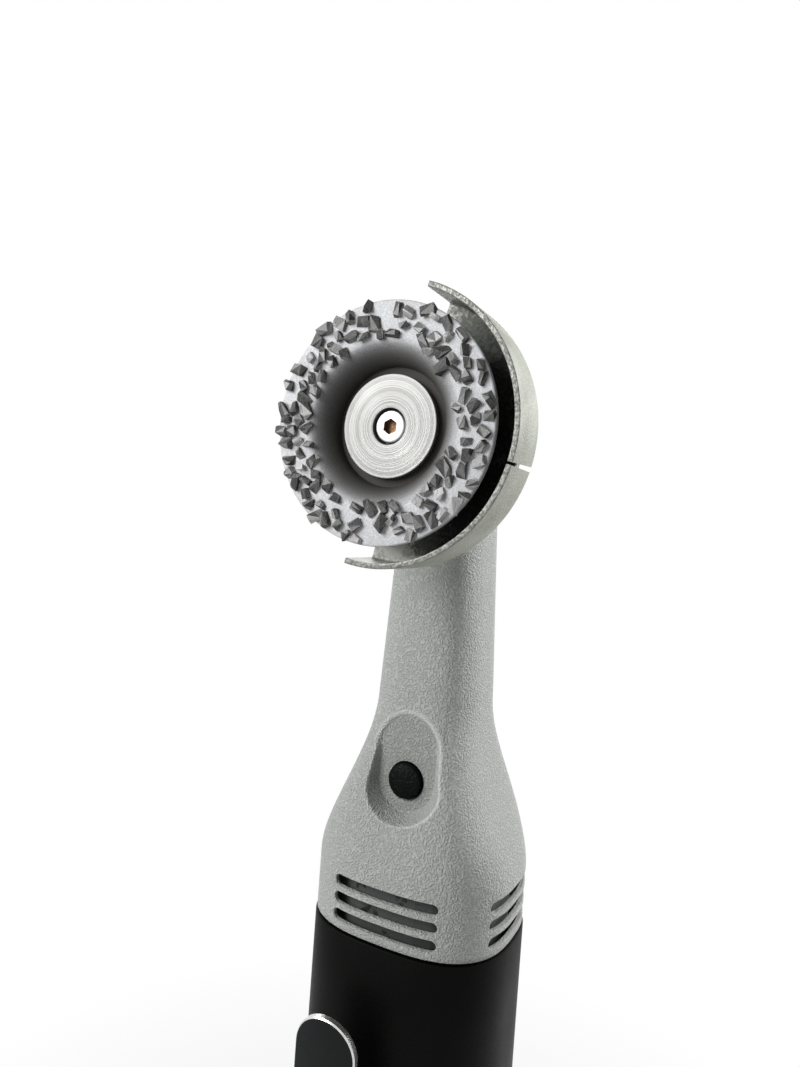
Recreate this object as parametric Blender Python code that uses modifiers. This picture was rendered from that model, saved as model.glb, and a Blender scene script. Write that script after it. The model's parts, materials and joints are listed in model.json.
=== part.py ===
# Right-angle hand grinder for trimming nails and hooves, standing on its tail: a dished disc set with
# chips on a long neck, a swivelling guard, a push-button spindle lock and a lever switch.
# Metres, +Z up along the tool, the disc faces -Y, and the origin is the middle of the tail face.

import random
from math import acos, atan2, copysign, cos, hypot, pi, radians, sin, sqrt, tan

import bmesh
import bpy
from mathutils import Matrix, Vector

# Room between pieces
GAP = 0.0003
RUN = 0.0002

# Facets of round pieces
ROUND_LARGE = 36
ROUND_MEDIUM = 18
ROUND_SMALL = 10
SECTION_POINTS = 32

# Lengths along the tool
GRIP_LENGTH = 0.1281
NECK_RISE = 0.1164
SPINDLE_Z = GRIP_LENGTH + NECK_RISE

# Section of the body
BODY_HALF_X = 0.0246
BODY_HALF_Y = 0.0213
BODY_POWER = 2.8
GRIP_STEP = 0.0003
GRIP_WALL = 0.0025

# Neck housing, with drops measured down from the spindle
NECK_TIP_HALF = 0.0102
NECK_ROOT_HALF = 0.01288
NECK_POWER = 3.0
NECK_BACK_SET = 0.0010
RIDGE_GAIN = 2.2
FLARE_DROP = 0.0613
FLARE_LENGTH = 0.0412
FLARE_RINGS = 9
NECK_WALL = 0.0022
CAVITY_DROP = 0.073
VENT_ROWS = 3
VENT_PITCH = 0.0040
VENT_WIDTH = 0.0025
VENT_RISE = 0.0036
FRONT_VENT_REACH = 0.0120
SIDE_VENT_REACH = 0.0106

# Gear head, with forward places measured from the tool's axis towards the disc
HEAD_RADIUS = 0.0146
HEAD_FRONT = 0.0131
HEAD_BACK = 0.0126
HEAD_EDGE = 0.0025
GEAR_ROOM_RADIUS = 0.0102
GEAR_ROOM_BACK = 0.0062
PLATE_THICKNESS = 0.0032
BOSS_RADIUS = 0.0103
BOSS_LENGTH = 0.0094
BOSS_LIP = 0.0017
PLATE_SCREWS = 4
PLATE_SCREW_CIRCLE = 0.0124
PLATE_SCREW_RADIUS = 0.0009
PLATE_SCREW_HEAD = 0.0014
PLATE_SCREW_HEAD_HEIGHT = 0.0013
PLATE_SCREW_REACH = 0.0065

# Spindle and its bearings
SPINDLE_RADIUS = 0.0038
SPINDLE_SHOULDER = 0.0055
SPINDLE_SEAT = 0.0034
SPINDLE_TAIL = 0.0019
FRONT_BEARING_RADIUS = 0.0080
FRONT_BEARING_WIDTH = 0.0050
REAR_BEARING_RADIUS = 0.0045
REAR_BEARING_WIDTH = 0.0040
BEARING_GROOVE = 0.0004
BEARING_RACE = 0.0010

# Bevel gears
GEAR_TEETH = 18
PINION_TEETH = 9
TOOTH_MODULE = 0.00089
TOOTH_FACE = 0.0030
TOOTH_SLACK = 0.14
PRESSURE_ANGLE = radians(20)
GEAR_HUB = 0.0055
PINION_HUB = 0.0038

# Disc, flanges and clamp screw
INNER_FLANGE_RADIUS = 0.0105
INNER_FLANGE_THICKNESS = 0.0040
FLANGE_RECESS = 0.0018
DISC_RADIUS = 0.0254
DISC_SHEET = 0.0014
DISH_DEPTH = 0.0057
DISH_MOUTH = 0.0168
DISH_FLOOR = 0.0130
DISH_STEPS = 3
CLAMP_RADIUS = 0.01107
CLAMP_PLATE = 0.00136
CLAMP_HUB = 0.0077
CLAMP_HOLE = 0.0039
CLAMP_HOLE_DEPTH = 0.0033
CLAMP_SCREW_RADIUS = 0.0020
CLAMP_SCREW_LENGTH = 0.0100
CLAMP_HEAD_RADIUS = 0.0035
CLAMP_HEAD_HEIGHT = 0.0024
SOCKET_ACROSS = 0.0030
SOCKET_DEPTH = 0.0015

# Chips on the disc
CHIP_RINGS = 3
CHIP_SPACING = 0.0074
CHIP_SIZE = 0.0016
CHIP_HEIGHT = 0.0017
CHIP_SEED = 7

# Guard and its collar
GUARD_RADIUS = 0.0301
GUARD_SHEET = 0.0012
GUARD_DEPTH = 0.0125
GUARD_HALF_SPAN = radians(87.35)
GUARD_TURN = radians(-14.75)
GUARD_BACK_SET = 0.0009
GUARD_SLIT = 0.0010
GUARD_SLIT_END = 0.0265
COLLAR_WALL = 0.0020
COLLAR_WIDTH = 0.0072
COLLAR_SPLIT = 0.0016
COLLAR_EAR = 0.0028
COLLAR_EAR_REACH = 0.0066
COLLAR_SCREW_RADIUS = 0.00125
COLLAR_SCREW_HEAD = 0.0022
COLLAR_SCREW_HEAD_HEIGHT = 0.0018

# Spindle lock
LOCK_DROP = 0.0804
POCKET_FLOOR = 0.0132
POCKET_TILT = 0.034
POCKET_RADIUS = 0.0072
POCKET_RISE = 0.024
POCKET_BACKING = 0.0016
BUTTON_RADIUS = 0.0041
BUTTON_PROUD = 0.0020
BUTTON_DOME = 0.0008
BUTTON_LIP = 0.0009
BUTTON_LIP_THICKNESS = 0.0010
LOCK_PIN_RADIUS = 0.0014
LOCK_PIN_SHORT = 0.0007
LOCK_COLLAR_RADIUS = 0.0048
LOCK_COLLAR_HEIGHT = 0.0080
LOCK_HOLES = 4
BRIDGE_THICKNESS = 0.0010
BRIDGE_HALF_HEIGHT = 0.0030
BRIDGE_ROOM = 0.0005
LOCK_SPRING_RADIUS = 0.0030
LOCK_SPRING_WIRE = 0.00025
LOCK_SPRING_TURNS = 3

# Drive line
DRIVE_RADIUS = 0.0028
DRIVE_TIP_RADIUS = 0.0015
PINION_BEARING_RADIUS = 0.0065
PINION_BEARING_WIDTH = 0.0050
PINION_BEARING_DROP = 0.0140
COUPLING_RADIUS = 0.0055
COUPLING_LENGTH = 0.0120
COUPLING_RISE = 0.0200
MOTOR_SHAFT_RADIUS = 0.0025

# Fan and air baffle
FAN_RADIUS = 0.0150
FAN_HUB = 0.0052
FAN_PLATE = 0.0010
FAN_HEIGHT = 0.0100
FAN_BLADES = 9
FAN_BLADE = 0.0010
FAN_RISE = 0.0008
BAFFLE_ROOM = 0.0011
BAFFLE_WALL = 0.0010
BAFFLE_HEIGHT = 0.0200
BAFFLE_RINGS = 6

# Motor
MOTOR_SINK = 0.0020
FRONT_PLATE_THICKNESS = 0.0047
MOTOR_BEARING_RADIUS = 0.0080
MOTOR_BEARING_WIDTH = 0.0036
AIR_HOLES = 6
AIR_HOLE_RADIUS = 0.0020
AIR_HOLE_CIRCLE = 0.0125
CAN_RADIUS = 0.0170
CAN_WALL = 0.0013
CAN_LENGTH = 0.0462
END_BELL_THICKNESS = 0.0050
REAR_MOTOR_BEARING_RADIUS = 0.0055
MAGNET_THICKNESS = 0.0025
MAGNET_LENGTH = 0.0300
MAGNET_HALF_SPAN = radians(58)
MAGNET_ROOM = 0.0013
ARMATURE_AIR = 0.0005
CORE_LENGTH = 0.0210
CORE_SLOTS = 8
CORE_SLOT_WIDTH = 0.0022
CORE_SLOT_DEPTH = 0.0040
WINDING_HEIGHT = 0.0042
WINDING_RADIUS = 0.0100
COMMUTATOR_RADIUS = 0.0055
COMMUTATOR_LENGTH = 0.0090
BRUSH_WIDTH = 0.0040
BRUSH_HEIGHT = 0.0050
BRUSH_WALL = 0.0007

# Tail cap, tie screws and power inlet
TAIL_CAP_HEIGHT = 0.0140
TAIL_FLOOR = 0.0040
TAIL_EDGE = 0.0018
TAIL_SPIGOT = 0.0040
TAIL_WALL = 0.0022
TIE_X = 0.0161
TIE_Y = 0.0121
TIE_RADIUS = 0.0014
TIE_HEAD_RADIUS = 0.0026
TIE_HEAD_HEIGHT = 0.0024
TIE_HEAD_SINK = 0.0008
TIE_BOSS_RADIUS = 0.0036
TIE_BITE = 0.0110
TIE_TAIL_BOSS = 0.0036
INLET_Y = 0.0095
INLET_HALF_LENGTH = 0.0038
INLET_RADIUS = 0.0042
INLET_WALL = 0.0015
INLET_SINK = 0.0006
INLET_DEPTH = 0.0112
INLET_BACK = 0.0022
INLET_PIN_SPACING = 0.0086
INLET_PIN_RADIUS = 0.0012
INLET_PIN_LENGTH = 0.0085
TERMINAL_HEIGHT = 0.0030
TERMINAL_HALF = 0.0011

# Lever and switch
LEVER_X = -0.0070
LEVER_REACH = 0.0765
LEVER_TAIL = 0.0055
LEVER_HALF_WIDTH = 0.00775
LEVER_SHEET = 0.0018
LEVER_STAND = 0.0077
LEVER_SWING = radians(5)
PIVOT_STAND = 0.0043
LUG_RADIUS = 0.0030
LUG_SHEET = 0.0013
EAR_RADIUS = 0.0026
EAR_SHEET = 0.0014
EAR_HALF_SPAN = 0.0055
BRACKET_HALF_HEIGHT = 0.0070
LEVER_PIN_RADIUS = 0.00125
LEVER_SPRING_RISE = 0.045
LEVER_SPRING_RADIUS = 0.0026
LEVER_SPRING_WIRE = 0.00035
LEVER_SPRING_TURNS = 4
SPRING_STUD_RADIUS = 0.0016
SPRING_STUD_HEIGHT = 0.0015
PLUNGER_RISE = 0.020
PLUNGER_RADIUS = 0.0022
PLUNGER_SINK = 0.0021
SWITCH_DEPTH = 0.0080
SWITCH_HALF_WIDTH = 0.0045
SWITCH_HALF_HEIGHT = 0.0080
SWITCH_ROOM = 0.0035

# Lead wires
WIRE_RADIUS = 0.0008

# Places worked out from the sizes above
PLATE_BACK = HEAD_FRONT + GAP
PLATE_FRONT = PLATE_BACK + PLATE_THICKNESS
BOSS_FRONT = PLATE_FRONT + BOSS_LENGTH
FRONT_BEARING_FRONT = BOSS_FRONT - BOSS_LIP - GAP
FRONT_BEARING_BACK = FRONT_BEARING_FRONT - FRONT_BEARING_WIDTH
INNER_FLANGE_BACK = BOSS_FRONT + 2 * GAP
INNER_FLANGE_FRONT = INNER_FLANGE_BACK + INNER_FLANGE_THICKNESS
SPINDLE_FRONT = INNER_FLANGE_FRONT - FLANGE_RECESS
DISH_BACK = INNER_FLANGE_FRONT + GAP
DISH_FRONT = DISH_BACK + DISC_SHEET
RIM_FRONT = DISH_FRONT + DISH_DEPTH
CLAMP_BACK = DISH_FRONT + GAP
CLAMP_FRONT = CLAMP_BACK + CLAMP_PLATE
CLAMP_HUB_BACK = SPINDLE_FRONT + GAP
CLAMP_SEAT = CLAMP_FRONT - CLAMP_HOLE_DEPTH
SCREW_HEAD_BACK = CLAMP_SEAT + GAP
GUARD_BACK = BOSS_FRONT - GUARD_BACK_SET
GUARD_FRONT = GUARD_BACK + GUARD_DEPTH
COLLAR_FRONT = GUARD_BACK - GAP
COLLAR_BACK = COLLAR_FRONT - COLLAR_WIDTH
COLLAR_BORE = BOSS_RADIUS + GAP
COLLAR_RADIUS = COLLAR_BORE + COLLAR_WALL
GEAR_PITCH = GEAR_TEETH * TOOTH_MODULE / 2
PINION_PITCH = PINION_TEETH * TOOTH_MODULE / 2
CONE_LENGTH = hypot(GEAR_PITCH, PINION_PITCH)
SHOULDER_BACK = FRONT_BEARING_BACK - 0.4 * (FRONT_BEARING_BACK - PINION_PITCH) + RUN
LOCK_Z = SPINDLE_Z - LOCK_DROP
BUTTON_HOLE = BUTTON_RADIUS + GAP
BUTTON_LIP_FRONT = POCKET_FLOOR - POCKET_BACKING - GAP
BUTTON_LIP_BACK = BUTTON_LIP_FRONT - BUTTON_LIP_THICKNESS
BRIDGE_BACK = LOCK_COLLAR_RADIUS + BRIDGE_ROOM
BRIDGE_FRONT = BRIDGE_BACK + BRIDGE_THICKNESS
PINION_BEARING_TOP = SPINDLE_Z - PINION_BEARING_DROP
PINION_BEARING_BOTTOM = PINION_BEARING_TOP - PINION_BEARING_WIDTH
COUPLING_MIDDLE = GRIP_LENGTH + COUPLING_RISE
FRONT_PLATE_TOP = GRIP_LENGTH - MOTOR_SINK
FRONT_PLATE_BOTTOM = FRONT_PLATE_TOP - FRONT_PLATE_THICKNESS
CAN_TOP = FRONT_PLATE_BOTTOM - GAP
CAN_BOTTOM = CAN_TOP - CAN_LENGTH
END_BELL_TOP = CAN_BOTTOM - GAP
END_BELL_BOTTOM = END_BELL_TOP - END_BELL_THICKNESS
CAN_BORE = CAN_RADIUS - CAN_WALL
MAGNET_BORE = CAN_BORE - GAP - MAGNET_THICKNESS
CORE_RADIUS = MAGNET_BORE - ARMATURE_AIR
COMMUTATOR_BOTTOM = END_BELL_TOP + BRUSH_WALL
COMMUTATOR_TOP = COMMUTATOR_BOTTOM + COMMUTATOR_LENGTH
CORE_BOTTOM = COMMUTATOR_TOP + WINDING_HEIGHT + 2 * GAP
CORE_TOP = CORE_BOTTOM + CORE_LENGTH
MOTOR_BEARING_TOP = FRONT_PLATE_TOP - GAP
REAR_MOTOR_BEARING_TOP = END_BELL_TOP - GAP
FAN_BOTTOM = FRONT_PLATE_TOP + FAN_RISE + GAP
BAFFLE_BOTTOM = FRONT_PLATE_TOP + GAP
TIE_TOP = GRIP_LENGTH + TIE_BITE
INLET_TOP = INLET_SINK + INLET_DEPTH + INLET_BACK
GRIP_FRONT = BODY_HALF_Y + GRIP_STEP
GRIP_INNER_X = BODY_HALF_X + GRIP_STEP - GRIP_WALL
GRIP_INNER_Y = GRIP_FRONT - GRIP_WALL
PIVOT_FORWARD = GRIP_FRONT + PIVOT_STAND
LEVER_UNDER = LEVER_STAND - PIVOT_STAND
PLUNGER_Z = END_BELL_BOTTOM - SWITCH_ROOM - SWITCH_HALF_HEIGHT
LEVER_PIVOT_Z = PLUNGER_Z - PLUNGER_RISE
PLUNGER_FRONT = GRIP_FRONT + LEVER_STAND - GAP
SWITCH_SIDE = (abs(LEVER_X) + SWITCH_HALF_WIDTH) / GRIP_INNER_X
SWITCH_FRONT = GRIP_INNER_Y * (1 - SWITCH_SIDE ** BODY_POWER) ** (1 / BODY_POWER) - GAP
SWITCH_BACK = SWITCH_FRONT - SWITCH_DEPTH
PLUNGER_BACK = SWITCH_FRONT - PLUNGER_SINK
TIE_SPOTS = [(sx * TIE_X, sy * TIE_Y) for sx in (-1, 1) for sy in (-1, 1)]
BRUSH_Z = (COMMUTATOR_BOTTOM + COMMUTATOR_TOP) / 2
BRUSH_END = CAN_BORE - BRUSH_WIDTH / 4
BRUSH_HOLDER_TOP = BRUSH_Z + BRUSH_HEIGHT / 2 + GAP + BRUSH_WALL
MAGNET_BOTTOM = BRUSH_HOLDER_TOP + MAGNET_ROOM

# Frames whose third axis points forward, towards the disc
FACING = Matrix.Rotation(pi / 2, 4, "X")
HEAD = Matrix.Translation((0, 0, SPINDLE_Z)) @ FACING
LOCK = Matrix.Translation((0, 0, LOCK_Z)) @ FACING
PIVOT = Matrix.Translation((LEVER_X, -PIVOT_FORWARD, LEVER_PIVOT_Z)) @ FACING
SWITCH = Matrix.Translation((LEVER_X, 0, PLUNGER_Z)) @ FACING
SPRING = Matrix.Translation((LEVER_X, 0, LEVER_PIVOT_Z + LEVER_SPRING_RISE)) @ FACING


# Scene set-up

for old in list(bpy.data.objects):
    bpy.data.objects.remove(old, do_unlink=True)

TOOL = bpy.data.collections.new("nail_trimmer")
CUTTERS = bpy.data.collections.new("cutters")
bpy.context.scene.collection.children.link(TOOL)
bpy.context.scene.collection.children.link(CUTTERS)


def finish(name, colour, roughness, metallic):
    material = bpy.data.materials.new(name)
    material.use_nodes = True
    shader = material.node_tree.nodes["Principled BSDF"]
    shader.inputs["Base Color"].default_value = (*colour, 1)
    shader.inputs["Roughness"].default_value = roughness
    shader.inputs["Metallic"].default_value = metallic
    material.diffuse_color = (*colour, 1)
    return material


STEEL = finish("bright_steel", (0.62, 0.62, 0.60), 0.30, 1.0)
DARK_STEEL = finish("dark_steel", (0.22, 0.21, 0.20), 0.40, 1.0)
GALVANISED = finish("galvanised_steel", (0.55, 0.56, 0.53), 0.50, 1.0)
SILVER = finish("silver_casing", (0.60, 0.61, 0.61), 0.55, 0.35)
TURNED = finish("turned_aluminium", (0.78, 0.77, 0.75), 0.28, 1.0)
DISC_SILVER = finish("disc_silver", (0.70, 0.70, 0.69), 0.42, 0.8)
BLACK = finish("satin_black", (0.012, 0.012, 0.012), 0.45, 0.0)
GLOSS = finish("gloss_black", (0.010, 0.010, 0.010), 0.25, 0.0)
GREY = finish("dark_grey_plastic", (0.06, 0.06, 0.065), 0.60, 0.0)
BRASS = finish("brass", (0.72, 0.52, 0.22), 0.35, 1.0)
COPPER = finish("copper_winding", (0.60, 0.28, 0.13), 0.40, 1.0)
FERRITE = finish("ferrite", (0.07, 0.07, 0.07), 0.75, 0.0)
CARBON = finish("carbon", (0.03, 0.03, 0.03), 0.70, 0.0)
SHEATH = finish("wire_sheath", (0.25, 0.03, 0.03), 0.50, 0.0)


# Shape helpers

def hold(name, mesh):
    shape = bpy.data.objects.new(name, mesh)
    CUTTERS.objects.link(shape)
    shape.hide_render = True
    shape.display_type = "WIRE"
    return shape


def close_up(mesh):
    work = bmesh.new()
    work.from_mesh(mesh)
    bmesh.ops.remove_doubles(work, verts=work.verts, dist=1e-6)
    bmesh.ops.recalc_face_normals(work, faces=work.faces)
    work.to_mesh(mesh)
    work.free()


def bake(shape):
    graph = bpy.context.evaluated_depsgraph_get()
    mesh = bpy.data.meshes.new_from_object(shape.evaluated_get(graph))
    name = shape.name
    bpy.data.objects.remove(shape)
    close_up(mesh)
    return hold(name, mesh)


def block(low, high):
    work = bmesh.new()
    bmesh.ops.create_cube(work, size=1)
    size = Vector(high) - Vector(low)
    middle = (Vector(high) + Vector(low)) / 2
    bmesh.ops.scale(work, vec=size, verts=work.verts)
    bmesh.ops.translate(work, vec=middle, verts=work.verts)
    mesh = bpy.data.meshes.new("block")
    work.to_mesh(mesh)
    work.free()
    return hold("block", mesh)


def rod(radius, bottom, top, sides=ROUND_SMALL, spot=(0, 0)):
    work = bmesh.new()
    bmesh.ops.create_cone(work, cap_ends=True, segments=sides, radius1=radius, radius2=radius,
                          depth=top - bottom)
    bmesh.ops.rotate(work, matrix=Matrix.Rotation(pi / sides, 3, "Z"), verts=work.verts)
    bmesh.ops.translate(work, vec=(*spot, (top + bottom) / 2), verts=work.verts)
    mesh = bpy.data.meshes.new("rod")
    work.to_mesh(mesh)
    work.free()
    return hold("rod", mesh)


def turned(profile, sides=ROUND_MEDIUM):
    mesh = bpy.data.meshes.new("turned")
    closed = profile[0][0] > 0 and profile[-1][0] > 0
    edges = [(i, i + 1) for i in range(len(profile) - 1)]
    if closed:
        edges.append((len(profile) - 1, 0))
    mesh.from_pydata([(r, 0, h) for r, h in profile], edges, [])
    shape = hold("turned", mesh)
    screw = shape.modifiers.new("screw", "SCREW")
    screw.steps = sides
    screw.render_steps = sides
    screw.use_merge_vertices = True
    screw.merge_threshold = 1e-6
    return bake(shape)


def tube(outer, inner, bottom, top, sides=ROUND_MEDIUM):
    return turned([(outer, top), (outer, bottom), (inner, bottom), (inner, top)], sides)


def prism(outline, bottom, top):
    curve = bpy.data.curves.new("prism", "CURVE")
    curve.dimensions = "2D"
    curve.fill_mode = "BOTH"
    curve.extrude = (top - bottom) / 2
    spline = curve.splines.new("POLY")
    spline.points.add(len(outline) - 1)
    for point, (x, y) in zip(spline.points, outline):
        point.co = (x, y, 0, 1)
    spline.use_cyclic_u = True
    shape = bake(hold("prism", curve))
    shape.data.transform(Matrix.Translation((0, 0, (top + bottom) / 2)))
    return shape


def wire(points, radius, sides_level=1):
    curve = bpy.data.curves.new("wire", "CURVE")
    curve.dimensions = "3D"
    curve.bevel_depth = radius
    curve.bevel_resolution = sides_level
    curve.use_fill_caps = True
    spline = curve.splines.new("POLY")
    spline.points.add(len(points) - 1)
    for point, place in zip(spline.points, points):
        point.co = (*place, 1)
    return bake(hold("wire", curve))


def loft(rings):
    work = bmesh.new()
    rows = [[work.verts.new(p) for p in ring] for ring in rings]
    count = len(rows[0])
    for low, high in zip(rows, rows[1:]):
        for i in range(count):
            j = (i + 1) % count
            work.faces.new((low[i], low[j], high[j], high[i]))
    work.faces.new(rows[0][::-1])
    work.faces.new(rows[-1])
    mesh = bpy.data.meshes.new("loft")
    work.to_mesh(mesh)
    work.free()
    close_up(mesh)
    return hold("loft", mesh)


def wheel(rings):
    work = bmesh.new()
    rows = [[work.verts.new(p) for p in ring] for ring in rings]
    count = len(rows[0])
    for k, low in enumerate(rows):
        high = rows[(k + 1) % len(rows)]
        for i in range(count):
            j = (i + 1) % count
            work.faces.new((low[i], low[j], high[j], high[i]))
    mesh = bpy.data.meshes.new("wheel")
    work.to_mesh(mesh)
    work.free()
    close_up(mesh)
    return hold("wheel", mesh)


def turn(shape, matrix):
    shape.data.transform(matrix)
    return shape


def combine(body, tool, operation):
    change = body.modifiers.new("change", "BOOLEAN")
    change.operation = operation
    change.solver = "EXACT"
    change.object = tool
    body = bake(body)
    bpy.data.objects.remove(tool)
    return body


def cut(body, *tools):
    for tool in tools:
        body = combine(body, tool, "DIFFERENCE")
    return body


def join(body, *tools):
    for tool in tools:
        body = combine(body, tool, "UNION")
    return body


def rounded(shape, width, segments=2, angle=radians(40)):
    bevel = shape.modifiers.new("edge", "BEVEL")
    bevel.width = width
    bevel.segments = segments
    bevel.limit_method = "ANGLE"
    bevel.angle_limit = angle
    return bake(shape)


def arc(centre, radius, start, end, steps):
    spots = []
    for i in range(steps + 1):
        a = start + (end - start) * i / steps
        spots.append((centre[0] + radius * cos(a), centre[1] + radius * sin(a)))
    return spots


def crowned_box(half_x, half_y, power, back, z):
    spots = []
    for i in range(SECTION_POINTS):
        c, s = cos(2 * pi * i / SECTION_POINTS), sin(2 * pi * i / SECTION_POINTS)
        x = copysign(abs(c) ** (2 / power), c) * half_x
        y = copysign(abs(s) ** (2 / power), s) * half_y
        spots.append((x, y + back, z))
    return spots


def crown(half, cross_half, offset, power=BODY_POWER):
    return half * (1 - (offset / cross_half) ** power) ** (1 / power)


def stadium(half_length, radius, steps=ROUND_SMALL // 2):
    right = arc((half_length, 0), radius, -pi / 2, pi / 2, steps)
    return right + arc((-half_length, 0), radius, pi / 2, 3 * pi / 2, steps)


def hexagon(across):
    return arc((0, 0), across / sqrt(3), 0, 5 * pi / 3, 5)


def coil(radius, bottom, top, turns, steps=9):
    points = []
    for i in range(turns * steps + 1):
        a = 2 * pi * i / steps
        points.append((radius * cos(a), radius * sin(a), bottom + (top - bottom) * i / (turns * steps)))
    return points


def frame(name, matrix):
    empty = bpy.data.objects.new(name, None)
    empty.empty_display_size = HEAD_RADIUS
    TOOL.objects.link(empty)
    empty.matrix_world = matrix
    return empty


def place(shape, name, material, parent=None, sharp=radians(32)):
    CUTTERS.objects.unlink(shape)
    TOOL.objects.link(shape)
    shape.name = name
    shape.data.name = name
    shape.hide_render = False
    shape.display_type = "TEXTURED"
    shape.data.materials.clear()
    shape.data.materials.append(material)
    shape.data.shade_smooth()
    shape.data.set_sharp_from_angle(angle=sharp)
    shape.parent = parent
    return shape


# Half width that keeps the reach of a crowned outline when its corner grows sharper
def slimmed(half_x, half_y, power, crisp):
    old, new = power / (power - 1), crisp / (crisp - 1)
    across, along = cos(pi / 6), half_y * sin(pi / 6)
    reach = ((half_x * across) ** old + along ** old) ** (1 / old)
    return (reach ** new - along ** new) ** (1 / new) / across


# Section of the neck housing at a height: half width, half depth, power of its outline, and set-back

def blend(a, b, share):
    return a + (b - a) * share


def neck_section(z, inset=0):
    drop = SPINDLE_Z - z
    if drop <= FLARE_DROP:
        half = blend(NECK_TIP_HALF, NECK_ROOT_HALF, drop / FLARE_DROP)
        return half - inset, half + NECK_BACK_SET - inset, NECK_POWER, NECK_BACK_SET
    t = min(1, (drop - FLARE_DROP) / FLARE_LENGTH)
    share = t * t * (3 - 2 * t)
    power = blend(NECK_POWER, BODY_POWER, share)
    crisp = power + RIDGE_GAIN * 4 * share * (1 - share)
    half_y = blend(NECK_ROOT_HALF, BODY_HALF_Y, share)
    half_x = slimmed(blend(NECK_ROOT_HALF, BODY_HALF_X, share), half_y, power, crisp)
    back = blend(NECK_BACK_SET, 0, share * share)
    return half_x - inset, half_y + back - inset, crisp, back


def flare_heights():
    top = SPINDLE_Z - FLARE_DROP
    return [top - FLARE_LENGTH * i / FLARE_RINGS for i in range(FLARE_RINGS, -1, -1)]


# Neck housing: head, neck and flared base in one casing

def pocket_outline(extra=0):
    bottom = arc((0, 0), POCKET_RADIUS + extra, pi, 2 * pi, ROUND_MEDIUM // 2)
    return bottom + [(POCKET_RADIUS + extra, POCKET_RISE), (-POCKET_RADIUS - extra, POCKET_RISE)]


def neck_cavity():
    top = SPINDLE_Z - CAVITY_DROP
    heights = [GRIP_LENGTH - NECK_WALL] + [z for z in flare_heights() if z < top - GAP] + [top]
    rings = [crowned_box(*neck_section(z, NECK_WALL), z) for z in heights]
    backing = prism(pocket_outline(POCKET_BACKING), POCKET_FLOOR - POCKET_BACKING, BODY_HALF_X)
    room = cut(loft(rings), turn(backing, LOCK))
    for spot in TIE_SPOTS:
        room = cut(room, rod(TIE_BOSS_RADIUS, 0, TIE_TOP + 2 * GAP + TIE_RADIUS, ROUND_SMALL, spot))
    return room


def vent_cutters():
    tools = []
    reach = (FRONT_VENT_REACH, SIDE_VENT_REACH)
    inner = (crown(BODY_HALF_Y - NECK_WALL, BODY_HALF_X - NECK_WALL, reach[0] + VENT_WIDTH / 2) - GAP,
             crown(BODY_HALF_X - NECK_WALL, BODY_HALF_Y - NECK_WALL, reach[1] + VENT_WIDTH / 2) - GAP)
    for row in range(VENT_ROWS):
        z = GRIP_LENGTH + VENT_RISE + row * VENT_PITCH
        for side in range(4):
            outline = stadium(reach[side % 2], VENT_WIDTH / 2)
            slot = prism(outline, inner[side % 2], BODY_HALF_X + NECK_WALL)
            spin = Matrix.Rotation(side * pi / 2, 4, "Z")
            tools.append(turn(slot, Matrix.Translation((0, 0, z)) @ spin @ FACING))
    return tools


def neck_housing():
    heights = [GRIP_LENGTH + GAP] + flare_heights() + [SPINDLE_Z - FLARE_DROP / 2, SPINDLE_Z]
    body = loft([crowned_box(*neck_section(z), z) for z in heights])
    edge = arc((HEAD_RADIUS - HEAD_EDGE, HEAD_EDGE - HEAD_BACK), HEAD_EDGE, 0, -pi / 2, 3)
    head = turned([(0, HEAD_FRONT), (HEAD_RADIUS, HEAD_FRONT)] + edge + [(0, -HEAD_BACK)], ROUND_LARGE)
    body = join(body, turn(head, HEAD))
    body = cut(body, neck_cavity())
    gear_room = rod(GEAR_ROOM_RADIUS, -GEAR_ROOM_BACK, HEAD_FRONT + GAP, ROUND_LARGE)
    seat_end = -GEAR_ROOM_BACK - REAR_BEARING_WIDTH - 2 * GAP
    rear_seat = rod(REAR_BEARING_RADIUS + RUN, seat_end, 0, ROUND_MEDIUM)
    body = cut(body, turn(gear_room, HEAD), turn(rear_seat, HEAD))
    tunnel_bottom = SPINDLE_Z - CAVITY_DROP - NECK_WALL
    tunnel = rod(PINION_BEARING_RADIUS + RUN, tunnel_bottom, PINION_BEARING_TOP + GAP, ROUND_MEDIUM)
    throat = rod(PINION_HUB + 4 * GAP, PINION_BEARING_BOTTOM, SPINDLE_Z, ROUND_MEDIUM)
    body = cut(body, tunnel, throat)
    pocket = turn(prism(pocket_outline(), 0, BODY_HALF_X), Matrix.Rotation(-POCKET_TILT, 4, "X"))
    pocket = turn(pocket, Matrix.Translation((0, 0, POCKET_FLOOR)))
    hole = rod(BUTTON_HOLE, POCKET_FLOOR - 2 * POCKET_BACKING, POCKET_FLOOR + POCKET_BACKING, ROUND_MEDIUM)
    body = cut(body, turn(pocket, LOCK), turn(hole, LOCK))
    body = cut(body, *vent_cutters())
    for spot in TIE_SPOTS:
        body = cut(body, rod(TIE_RADIUS + GAP, 0, TIE_TOP + GAP, ROUND_SMALL, spot))
    depth = HEAD_FRONT - PLATE_SCREW_REACH
    for spot in plate_screw_spots():
        body = cut(body, turn(rod(PLATE_SCREW_RADIUS + GAP, depth, BOSS_FRONT, ROUND_SMALL, spot), HEAD))
    return body


def plate_screw_spots():
    step = 2 * pi / PLATE_SCREWS
    return [(PLATE_SCREW_CIRCLE * cos(step * (i + 0.5)), PLATE_SCREW_CIRCLE * sin(step * (i + 0.5)))
            for i in range(PLATE_SCREWS)]


# Gear plate with the boss that carries the guard, and its screws

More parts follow.
